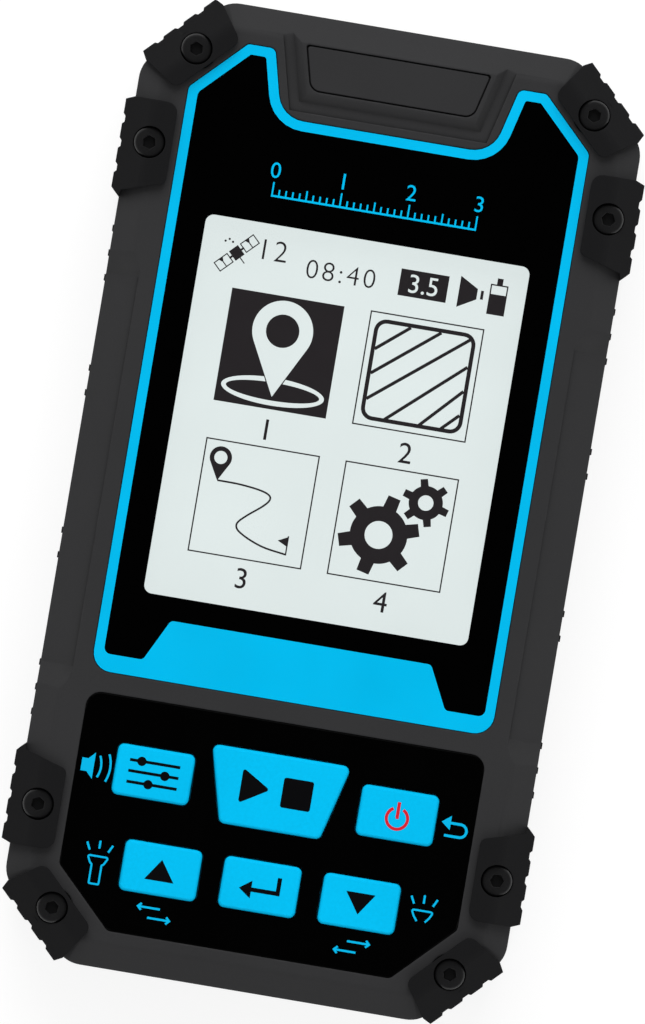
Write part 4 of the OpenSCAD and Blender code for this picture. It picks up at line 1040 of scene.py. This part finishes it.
class AREAMETER_OT_bumpers(bpy.types.Operator):
    """Finish the eight rubber bumpers"""

    bl_idname = "area_meter.bumpers"
    bl_label = "Bumpers"

    def execute(self, context):
        for node in nodes_named("_bumper"):
            polish(node, node.replace("bumper", "guard"), "rubber")
        return {"FINISHED"}


class AREAMETER_OT_lamp(bpy.types.Operator):
    """Make the lamp's frosted window with its upright ribs"""

    bl_idname = "area_meter.lamp"
    bl_label = "Lamp window"

    # Share of the pitch that a rib takes, how deep its foot is in the pane, and how far it ends from the rim
    fullness = 0.8
    foot = 0.05
    margin = 0.04

    def execute(self, context):
        s = settings().lamp
        corner, rise = s.corner / MM, s.rise / MM
        low, high = box_of("lamp_diffuser")
        middle, half = (low + high) / 2, (high - low) / 2
        outline = rounded(box_rows(middle.x, middle.z, 2 * half.x, 2 * half.z, corner))
        bm = bmesh.new()
        loft(bm, [(outline, low.y), (outline, high.y - rise + self.foot)])
        for v in bm.verts:
            v.co = (v.co.x, v.co.z, v.co.y)
        mesh = to_mesh("lamp_pane", bm)
        place_mesh("lamp_pane", mesh, "diffuser", replaces=["lamp_diffuser"], smooth_angle=30)

        step = 2 * half.x / s.ribs
        width = step * self.fullness
        profile = arc(0, 0, width / 2, 0, 180, rise, steps=8)
        rib = bpy.data.objects.new("Rib", solid("Rib", [(profile, -1), (profile, 1)]))
        places = [(k + 0.5) * step - half.x for k in range(s.ribs)]
        past = [max(abs(x) + width / 2 - (half.x - corner), 0) for x in places]
        reach = [half.z - corner + math.sqrt(corner**2 - p**2) - self.margin for p in past]
        points = point_mesh([(middle.x + x, high.y - rise, middle.z) for x in places])
        points.attributes.new("reach", "FLOAT", "POINT").data.foreach_set("value", reach)
        rib_row().make("lamp_ribs", points, {"Rib": rib, "Rise": 1.0}, "diffuser", smooth_angle=35)
        discard(rib)
        return {"FINISHED"}


# Display

# Outline of the lens: its ears are cut off where x + y comes to this
EAR_CUT = 87.3
# The notch for the antenna plateau: its floor, half its width there, and the lean of its sides
NOTCH_Y = 55.5
NOTCH_X = 15.57
NOTCH_LEAN = math.radians(14)
# The blue foot: half its width at the bottom and at the top, and the height of the shelf beside it
FOOT_X = (22.3, 19.2)
SHELF = 2.6


def lens_rows(grow, foot=None):
    """Rows of the lens's outline, grown by that much. With a foot, the bottom steps up to that height."""
    low, high = box_of("display_lens")
    cut = EAR_CUT + grow * math.sqrt(2)
    hw, top, bottom = high.x + grow, high.y + grow, low.y - grow
    notch_y = NOTCH_Y + grow
    notch_x = NOTCH_X - grow / math.cos(NOTCH_LEAN) + grow * math.tan(NOTCH_LEAN)
    ear_x = notch_x + (top - notch_y) * math.tan(NOTCH_LEAN)
    tip, ear, notch = 0.8 + grow * 0.4, 1 + grow * 0.4, 4.2 - grow
    upper = [
        (hw, cut - hw, 1.2), (cut - top, top, tip), (ear_x, top, ear), (notch_x, notch_y, notch),
        (-notch_x, notch_y, notch), (-ear_x, top, ear), (top - cut, top, tip), (-hw, cut - hw, 1.2),
    ]
    if foot is None:
        return [(-hw, bottom, 2.85 + grow), (hw, bottom, 2.85 + grow), *upper]
    shelf, rise = low.y + SHELF, low.y + foot
    wide, narrow = FOOT_X
    lower = [
        (-hw, shelf, 1.0), (-wide, shelf, 0.8), (-narrow, rise, 0.8),
        (narrow, rise, 0.8), (wide, shelf, 0.8), (hw, shelf, 1.0),
    ]
    return [*lower, *upper]


def window_loop(s, grow=0.0):
    """Outline of the clear window, grown by that much."""
    w, h = s.window_w / MM + 2 * grow, s.window_h / MM + 2 * grow
    return rounded(box_rows(0, s.window_y / MM, w, h, s.window_r / MM + grow))


class AREAMETER_OT_lens(bpy.types.Operator):
    """Make the lens: black frame, clear window and printed blue border"""

    bl_idname = "area_meter.lens"
    bl_label = "Display lens"

    # In millimetres: gap round the pane and under it, and how far its top lies below the frame's
    play = 0.02
    sunk = 0.01

    def execute(self, context):
        s = settings().display
        low, high = box_of("display_lens")
        edge = s.chamfer / MM
        profile = [(0, low.z), (0, high.z - edge), (-0.3 * edge, high.z - 0.3 * edge), (-edge, high.z)]
        mesh = solid("lens_frame", [(rounded(lens_rows(g)), z) for g, z in profile], [window_loop(s)])
        place_mesh("lens_frame", mesh, "lens", replaces=["display_lens"], smooth_angle=40)
        pane = window_loop(s, -self.play)
        mesh = solid("lens_window", [(pane, low.z + self.play), (pane, high.z - self.sunk)])
        place_mesh("lens_window", mesh, "clear window")
        border = Print(high.z)
        border.fill(rounded(lens_rows(-edge * 0.3)), [rounded(lens_rows(-s.border / MM, s.foot_rise / MM))])
        border.piece("lens_border", "lens print", "keycap")
        return {"FINISHED"}


class AREAMETER_OT_scale(bpy.types.Operator):
    """Print a graduated scale with plain figures above the window"""

    bl_idname = "area_meter.scale"
    bl_label = "Printed scale"

    # In millimetres: width of a mark, lengths of the marks, base line, and height and place of the figures
    mark = 0.24
    lengths = {"Short": 1.0, "Middle": 1.5, "Long": 2.0}
    base_line = 0.3
    figure = 2.3
    figure_rise = 3.75

    def execute(self, context):
        s = settings().display
        top = top_of("display_lens")
        length, y = (s.ticks - 1) * s.pitch / MM, s.scale_y / MM
        values = {"Count": s.ticks, "Pitch": s.pitch, "Start": tuple(c * MM for c in (-length / 2, y, top))}
        for label, value in {**self.lengths, "Width": self.mark, "Thickness": Print.thickness}.items():
            values[label] = value * MM
        start = point_mesh([(0, 0, 0)])
        mark_row().make("scale_marks", start, values, "lens print", "keycap", smooth_angle=None)
        marks = Print(top)
        marks.box(0, y, length + self.mark, self.base_line)
        for k in range(0, s.ticks, 10):
            marks.figures(str(k // 10), self.figure, k * s.pitch / MM - length / 2, y + self.figure_rise)
        marks.piece("scale_figures", "lens print", "keycap")
        return {"FINISHED"}


def pin_loop(x, y, radius, drop):
    """Outline of a map pin: a round head that narrows to a point below it."""
    start = math.degrees(math.acos(radius / drop)) - 90
    return [*arc(x, y, radius, start, 180 - start, steps=36), (x, y - drop)]


def gear_loop(x, y, root, tip, width, teeth, turn):
    """Outline of a gear with straight teeth."""
    centre = Vector((x, y))
    half, step = math.asin(width / 2 / root), math.tau / teeth
    out = []
    for k in range(teeth):
        middle = math.radians(turn) + step * k
        along = Vector((math.cos(middle), math.sin(middle)))
        side = Vector((-along.y, along.x)) * width
        foot = centre + along * root * math.cos(half)
        end = centre + along * tip
        out += [foot - side * 0.5, end - side * 0.46, end + side * 0.46, foot + side * 0.5]
        for j in range(1, 5):
            a = middle + half + (step - 2 * half) * j / 5
            out.append(centre + root * Vector((math.cos(a), math.sin(a))))
    return out


class AREAMETER_OT_screen(bpy.types.Operator):
    """Draw the picture on the screen: a status row and four tiles with plain figures"""

    bl_idname = "area_meter.screen"
    bl_label = "Screen picture"

    # In millimetres: side of a tile, places of the tiles and of the figures under them, the height of these
    # figures, and the widths of two kinds of line
    tile = 16.6
    columns = (-10.18, 10.4)
    rows = (21.72, -0.48)
    figure_rows = (10.4, -11.6)
    figure = 3.0
    fine = 0.16
    thin = 0.2
    # Height from one layer of the picture to the next, in millimetres
    layer = 0.05

    # Lines of the field and bends of the way, from the middle of their tiles
    hatch = (
        ((-6.93, 2.94), (-2.21, 6.84)), ((-6.93, -0.64), (2.3, 6.84)), ((-6.93, -4.42), (6.58, 6.49)),
        ((-3.81, -6.98), (6.87, 2.51)), ((1.28, -6.98), (6.87, -1.07)), ((4.48, -6.98), (6.87, -4.62)),
    )
    route = (
        (-5.78, 2.44), (-2.63, 2.39), (0.28, 2.07), (1.88, 1.6), (2.25, 0.9), (1.44, -0.17), (-0.6, -1.86),
        (-1.76, -3.0), (-1.95, -3.75), (-1.4, -4.45), (0.28, -5.35), (2.6, -6.14), (5.81, -6.63),
    )

    def execute(self, context):
        z = top_of("screen_glass")
        dark, pale, spot = (Print(z + self.layer * k) for k in range(3))
        left, right = self.columns
        upper, lower = self.rows
        self.satellite(dark, -18.68, 35.1)
        self.status_row(dark, pale)
        self.place_tile(dark, pale, spot, left, upper)
        self.area_tile(dark, right, upper)
        self.route_tile(dark, left, lower)
        self.gear_tile(dark, right, lower)
        places = [(x, y) for y in self.figure_rows for x in self.columns]
        for number, (x, y) in enumerate(places, 1):
            dark.figures(str(number), self.figure, x, y)
        dark.piece("screen_marks", "screen ink", "screen")
        pale.piece("screen_clear_marks", "screen", "screen")
        spot.piece("screen_dark_marks", "screen ink", "screen")
        return {"FINISHED"}

    def frame_tile(self, dark, x, y):
        dark.line(rounded(box_rows(x, y, self.tile, self.tile)), self.thin, True)

    def satellite(self, dark, x, y):
        """A satellite with two panels, and three dots for its signal."""
        turn = Matrix.Rotation(math.radians(-45), 2)

        def at(*corners):
            return [turn @ Vector(corner) + Vector((x, y)) for corner in corners]

        for side in (-1, 1):
            near, middle, far = side * 1.2, side * 2.35, side * 3.5
            dark.line(at((-0.75, near), (0.75, near), (0.75, far), (-0.75, far)), self.fine, True)
            dark.line(at((-0.75, middle), (0.75, middle)), self.fine)
            dark.fill(at((-0.7, side * 2.0), (0.0, middle), (-0.7, side * 2.7)))
        dark.fill(at((-0.85, -0.8), (0.85, -0.8), (0.85, 0.8), (-0.85, 0.8)))
        dark.line(at((0, -1.3), (0, 1.3)), 0.3)
        dark.line(at((0.8, 0), (1.9, 0)), self.fine)
        for k in range(3):
            dark.fill(ring(x - 1.9 + 0.55 * k, y + 1.5 + 0.35 * (k % 2), 0.17, steps=10))

    def status_row(self, dark, pale):
        """Plain figures, a loudspeaker and a battery."""
        lighter = -0.012
        dark.figures("12", 3.0, -13.2, 36.3, lighter, 1.12)
        dark.figures("08:40", 2.75, -3.2, 34.6, lighter, 1.18)
        dark.box(8.97, 34.92, 7.1, 3.92)
        pale.figures("3.5", 2.7, 8.97, 34.92)
        dark.fill([(14.17, 32.66), (16.88, 34.2), (16.88, 35.75), (14.17, 37.26)])
        dark.box(17.6, 34.95, 0.42, 1.3)
        dark.box(19.93, 37.3, 0.85, 0.95)
        dark.line(rounded(box_rows(19.93, 34.62, 2.4, 4.25)), self.thin, True)
        dark.box(19.93, 33.93, 2.3, 2.9)

    def place_tile(self, dark, pale, spot, x, y):
        """A map pin in a ring."""
        dark.box(x, y, self.tile, self.tile)
        pale.fill(ring(x, y - 5.7, 7.6, 2.05, 48), [ring(x, y - 5.7, 6.9, 1.33, 48)])
        spot.fill(pin_loop(x, y + 2.9, 4.3, 9.9))
        pale.fill(pin_loop(x, y + 3.23, 4.45, 9.7), [ring(x, y + 3.23, 2.44)], raise_by=0.12)

    def area_tile(self, dark, x, y):
        """A hatched field."""
        self.frame_tile(dark, x, y)
        dark.line(rounded(box_rows(x, y, 14.4, 14.3, 1.5)), 0.6, True)
        for start, end in self.hatch:
            dark.line([Vector(start) + Vector((x, y)), Vector(end) + Vector((x, y))], 0.48)

    def route_tile(self, dark, x, y):
        """A winding way from a pin to a flag."""
        self.frame_tile(dark, x, y)
        dark.line(curve_through([(x + u, y + v) for u, v in self.route]), 0.27)
        dark.line([(x + 5.81, y - 6.75), (x + 5.81, y - 3.9)], self.thin)
        dark.fill([(x + 4.35, y - 4.77), (x + 5.86, y - 5.5), (x + 5.86, y - 4.0)])
        dark.fill(pin_loop(x - 5.83, y + 5.79, 1.63, 3.4), [ring(x - 5.83, y + 5.79, 0.96)])

    def gear_tile(self, dark, x, y):
        """A large and a small gear."""
        self.frame_tile(dark, x, y)
        dark.fill(gear_loop(x - 1.87, y - 1.54, 4.22, 5.9, 2.05, 6, 16), [ring(x - 1.87, y - 1.54, 2.04)])
        dark.fill(gear_loop(x + 4.15, y + 4.19, 2.5, 3.5, 1.16, 6, 43), [ring(x + 4.15, y + 4.19, 1.13)])


# Keypad


class AREAMETER_OT_keypad(bpy.types.Operator):
    """Finish the keypad plate and the keys, and print the marks on the plate and on each key"""

    bl_idname = "area_meter.keypad"
    bl_label = "Keypad"

    # Marks on the plate, in millimetres
    cone = (
        (-28.6, -42.95), (-27.7, -42.95), (-26.75, -43.95),
        (-26.75, -40.05), (-27.7, -41.05), (-28.6, -41.05),
    )
    waves = ((3.6, 26), (4.95, 24))
    return_tip = ((24.5, -41.6), (25.85, -42.65), (25.85, -40.55))
    torch = (
        (-25.5, -54.9, 0.22), (-24.98, -55.95, 0.4), (-24.7, -56.15, 0.2), (-24.7, -58.95, 0.15),
        (-23.25, -58.95, 0.15), (-23.25, -56.15, 0.2), (-22.97, -55.95, 0.4), (-22.4, -54.9, 0.22),
    )
    torch_rays = (
        ((-23.97, -52.6), (-23.97, -53.76)), ((-25.86, -53.03), (-25.32, -54.13)),
        ((-22.05, -53.03), (-22.6, -54.13)),
    )
    lamp = ((22.75, -55.8, 0), (22.3, -54.9, 0.22), (25.5, -54.9, 0.22), (25.05, -55.8, 0))
    lamp_rays = (
        ((23.9, -52.6), (23.9, -53.83)), ((21.97, -52.96), (22.52, -54.05)),
        ((25.85, -52.96), (25.3, -54.05)),
    )
    pairs = (
        ((-13.8, -61.05), (-17.05, -61.05)), ((-15.45, -62.52), (-12.2, -62.52)),
        ((13.8, -61.05), (17.05, -61.05)), ((15.3, -62.52), (12.1, -62.52)),
    )

    def execute(self, context):
        s = settings().keypad
        soften("keypad_plate", "keypad_film", "overlay", s.plate_edge)
        for node in nodes_named("_key"):
            soften(node, node.replace("_key", "_cap"), "keycap", s.edge, body=node, segments=3)
        self.domes()
        self.plate_marks(s.line / MM)
        self.key_marks()
        return {"FINISHED"}

    def domes(self):
        """Each silicone dome under the keys is polished, and its copy gets a mesh of its own."""
        for node in nodes_named("_dome"):
            dome = polish(node, node.replace("_dome", "_return"), "silicone")
            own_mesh(dome)

    def plate_marks(self, w):
        """Loudspeaker, return arrow, torch, lamp and paired arrows in lines about w millimetres wide."""
        marks = Print(top_of("keypad_plate"))
        marks.fill(self.cone)
        for radius, half_angle in self.waves:
            marks.line(arc(-29.3, -42.0, radius, -half_angle, half_angle), w)
        marks.fill(self.return_tip)
        bend = arc(27.35, -42.55, 0.95, 80, -80, steps=12)
        marks.line([(25.7, -41.6), (27.4, -41.6), *bend, (27.3, -43.5), (25.15, -43.5)], w * 1.25)
        marks.line(rounded(self.torch, 3), w * 0.9, True)
        for start, end in self.torch_rays:
            marks.line([start, end], w)
        marks.line([(23.3, -56.5), *rounded(self.lamp, 3), (24.5, -56.5)], w * 0.9)
        for start, end in self.lamp_rays:
            marks.line([start, end], w)
        for tail, tip in self.pairs:
            marks.arrow(tail, tip, w, 0.5)
        marks.piece("plate_marks", "plate print", "keycap")

    def key_marks(self):
        """One mark on each key: sliders, play and stop, power, up, down and return."""
        x, y, marks = self.start_mark("settings_key")
        for k, shift in enumerate((-1.95, 1.69, -0.52)):
            line_y = y + 1.6 - 1.6 * k
            marks.box(x, line_y, 7.4, 0.42)
            marks.fill(ring(x + shift, line_y, 0.68, steps=20))
        marks.piece("settings_mark", "key print", "overlay", "settings_key")

        x, y, marks = self.start_mark("start_stop_key")
        marks.fill(rounded([(x - 0.9, y + 0.3, 0.3), (x - 5.2, y + 2.9, 0.3), (x - 5.2, y - 2.3, 0.3)]))
        marks.box(x + 3.1, y + 0.3, 4.4, 4.4, 0.35)
        marks.piece("start_stop_mark", "key print", "overlay", "start_stop_key")

        x, y, marks = self.start_mark("power_key")
        marks.line(arc(x, y - 0.45, 1.55, 118, 422, steps=40), 0.45)
        marks.line([(x, y + 1.95), (x, y - 0.5)], 0.48)
        marks.piece("power_mark", "power print", "overlay", "power_key")

        for node, way in (("up_key", 1), ("down_key", -1)):
            x, y, marks = self.start_mark(node)
            marks.fill([(x - 2.15, y - way * 1.58), (x + 2.15, y - way * 1.58), (x, y + way * 1.55)])
            marks.piece(node.replace("_key", "_mark"), "key print", "overlay", node)

        x, y, marks = self.start_mark("enter_key")
        marks.line([(x + 2.7, y + 1.75), (x + 2.7, y - 0.55), (x - 1.6, y - 0.55)], 0.62)
        marks.fill([(x - 3.0, y - 0.55), (x - 1.2, y - 1.85), (x - 1.2, y + 0.75)])
        marks.piece("enter_mark", "key print", "overlay", "enter_key")

    def start_mark(self, node):
        """Middle of a key in millimetres, and a print on its top."""
        low, high = box_of(node)
        return (low.x + high.x) / 2, (low.y + high.y) / 2, Print(high.z)


# Everything else


class AREAMETER_OT_finishes(bpy.types.Operator):
    """Give every CAD node that still shows the finish of its slot"""

    bl_idname = "area_meter.finishes"
    bl_label = "Other finishes"

    def execute(self, context):
        slots = {row["node"]: row["material_slot"] for row in frame["record"]["subparts"]}
        for node, obj in frame["nodes"].items():
            if obj.hide_render:
                continue
            if not obj.material_slots:
                obj.data.materials.append(finish_of(slots[node]))
            for place in obj.material_slots:
                place.material = finish_of(slots[node])
        return {"FINISHED"}


# Studio


class AREAMETER_OT_studio(bpy.types.Operator):
    """Set up the pale floor, the soft lamps and the camera"""

    bl_idname = "area_meter.studio"
    bl_label = "Studio"

    # Side in metres and place of each lamp
    key_lamp = (0.8, (-0.1, 0.78, 0.72))
    fill_lamp = (0.9, (0.25, -0.8, 0.62))
    # Gap between the meter and the floor in metres, so that no two faces coincide
    floor_gap = 0.00002
    # Brightness of the floor for the light that it gives on, and for the eye where the lamps reach it
    floor_matt = 0.8
    floor_shown = 0.24
    # The floor's own light rises with the distance from the meter: (metres, strength) near and far
    floor_near = (0.3, 0.82)
    floor_far = (0.9, 0.93)
    # What gloss sees behind the meter: (height of the line of sight, strength) low down and near the zenith
    backdrop_low = (0.45, 0.8)
    backdrop_high = (0.93, 0.008)
    # Point of the front face in the middle of the picture, in millimetres, and the camera's near and far
    # limits in metres
    aim = (-0.09, -0.06)
    reach = (0.01, 20)

    def execute(self, context):
        s = settings().studio
        self.floor(s)
        self.world(s)
        self.lamp("Key lamp", s.key, *self.key_lamp)
        self.lamp("Fill lamp", s.fill, *self.fill_lamp)
        self.camera(s)
        context.scene.view_settings.view_transform = "Standard"
        return {"FINISHED"}

    def floor(self, s):
        """A plain floor that keeps the meter's shadow and looks white beyond it."""
        bm = bmesh.new()
        bmesh.ops.create_grid(bm, x_segments=2, y_segments=2, size=s.floor / 2)
        mesh = to_mesh("Floor", bm, scale=1)
        obj = add_object("Floor", mesh)
        obj.location.z = CAD_BOX[0][2] - self.floor_gap
        material = bpy.data.materials.new("Pale floor")
        material.use_nodes = True
        t = Tree(material.node_tree)
        matt = t.node("ShaderNodeBsdfDiffuse", {"Color": [self.floor_matt] * 3})
        shown = t.node("ShaderNodeBsdfDiffuse", {"Color": [self.floor_shown] * 3})
        place = t.node("ShaderNodeTexCoord").outputs["Object"]
        away = t.node("ShaderNodeVectorMath", {0: place}, operation="LENGTH").outputs["Value"]
        (near, weak), (far, strong) = self.floor_near, self.floor_far
        glow = t.node("ShaderNodeEmission", {"Strength": t.ranged(away, weak, strong, near, far)})
        both = t.node("ShaderNodeAddShader", {0: shown.outputs[0], 1: glow.outputs[0]})
        mixed = t.node("ShaderNodeMixShader", {0: t.seen(), 1: matt.outputs[0], 2: both.outputs[0]})
        t.node("ShaderNodeOutputMaterial", {"Surface": mixed.outputs[0]})
        mesh.materials.append(material)

    def world(self, s):
        """White behind the meter. Gloss sees it darken towards the zenith, where the camera stands."""
        world = bpy.data.worlds.new("Studio")
        bpy.context.scene.world = world
        world.use_nodes = True
        t = Tree(world.node_tree)
        way = t.node("ShaderNodeTexCoord").outputs["Generated"]
        height = t.node("ShaderNodeSeparateXYZ", {0: way}).outputs["Z"]
        (low, strong), (high, weak) = self.backdrop_low, self.backdrop_high
        fade = t.ranged(height, strong, weak, low, high)
        white = t.calc("MAXIMUM", fade, t.node("ShaderNodeLightPath").outputs["Is Camera Ray"])
        ambient = t.node("ShaderNodeBackground", {"Color": (0.8, 0.8, 0.8), "Strength": s.ambient})
        backdrop = t.node("ShaderNodeBackground", {"Color": (1, 1, 1), "Strength": white})
        mixed = t.node("ShaderNodeMixShader", {0: t.seen(), 1: ambient.outputs[0], 2: backdrop.outputs[0]})
        t.node("ShaderNodeOutputWorld", {"Surface": mixed.outputs[0]})

    def lamp(self, name, power, side, place):
        """A square lamp that points at the meter. Gloss doesn't show it."""
        data = bpy.data.lights.new(name, "AREA")
        data.energy, data.size = power, side
        obj = add_object(name, data)
        obj.location = place
        obj.rotation_euler = (-Vector(place)).to_track_quat("-Z", "Y").to_euler()
        obj.visible_glossy = False

    def camera(self, s):
        """A long lens straight above the front face, turned about the line of sight."""
        data = bpy.data.cameras.new("Camera")
        data.lens = s.lens
        data.clip_start, data.clip_end = self.reach
        obj = add_object("Camera", data)
        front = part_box("keypad_plate")[1].z
        middle = Matrix.Rotation(s.turn, 2) @ Vector(self.aim) * MM
        obj.location = (middle.x, middle.y, front + s.view_h * s.lens / data.sensor_width)
        obj.rotation_euler = (0, 0, s.turn)
        bpy.context.scene.camera = obj


class AREAMETER_PT_panel(bpy.types.Panel):
    """Steps that build the meter"""

    bl_idname = "AREAMETER_PT_panel"
    bl_label = "Land Area Meter"
    bl_space_type = "VIEW_3D"
    bl_region_type = "UI"
    bl_category = "Area Meter"

    def draw(self, context):
        for step in STEPS:
            self.layout.operator(step.bl_idname)
        for label in AREAMETER_PG_settings.__annotations__:
            group = getattr(context.scene.area_meter, label)
            box = self.layout.box()
            box.label(text=label.capitalize())
            for name in group.__annotations__:
                box.prop(group, name)


STEPS = (
    AREAMETER_OT_studio,
    AREAMETER_OT_housing,
    AREAMETER_OT_bumpers,
    AREAMETER_OT_lamp,
    AREAMETER_OT_lens,
    AREAMETER_OT_scale,
    AREAMETER_OT_screen,
    AREAMETER_OT_keypad,
    AREAMETER_OT_fasteners,
    AREAMETER_OT_finishes,
)
CLASSES = (
    AREAMETER_PG_shell,
    AREAMETER_PG_lamp,
    AREAMETER_PG_display,
    AREAMETER_PG_keypad,
    AREAMETER_PG_fasteners,
    AREAMETER_PG_studio,
    AREAMETER_PG_settings,
    *STEPS,
    AREAMETER_PT_panel,
)


def register():
    for item in CLASSES:
        bpy.utils.register_class(item)
    bpy.types.Scene.area_meter = PointerProperty(type=AREAMETER_PG_settings)


def unregister():
    del bpy.types.Scene.area_meter
    for item in reversed(CLASSES):
        bpy.utils.unregister_class(item)


def main():
    register()
    for step in STEPS:
        group, name = step.bl_idname.split(".")
        getattr(getattr(bpy.ops, group), name)()


if __name__ == "__main__":
    main()
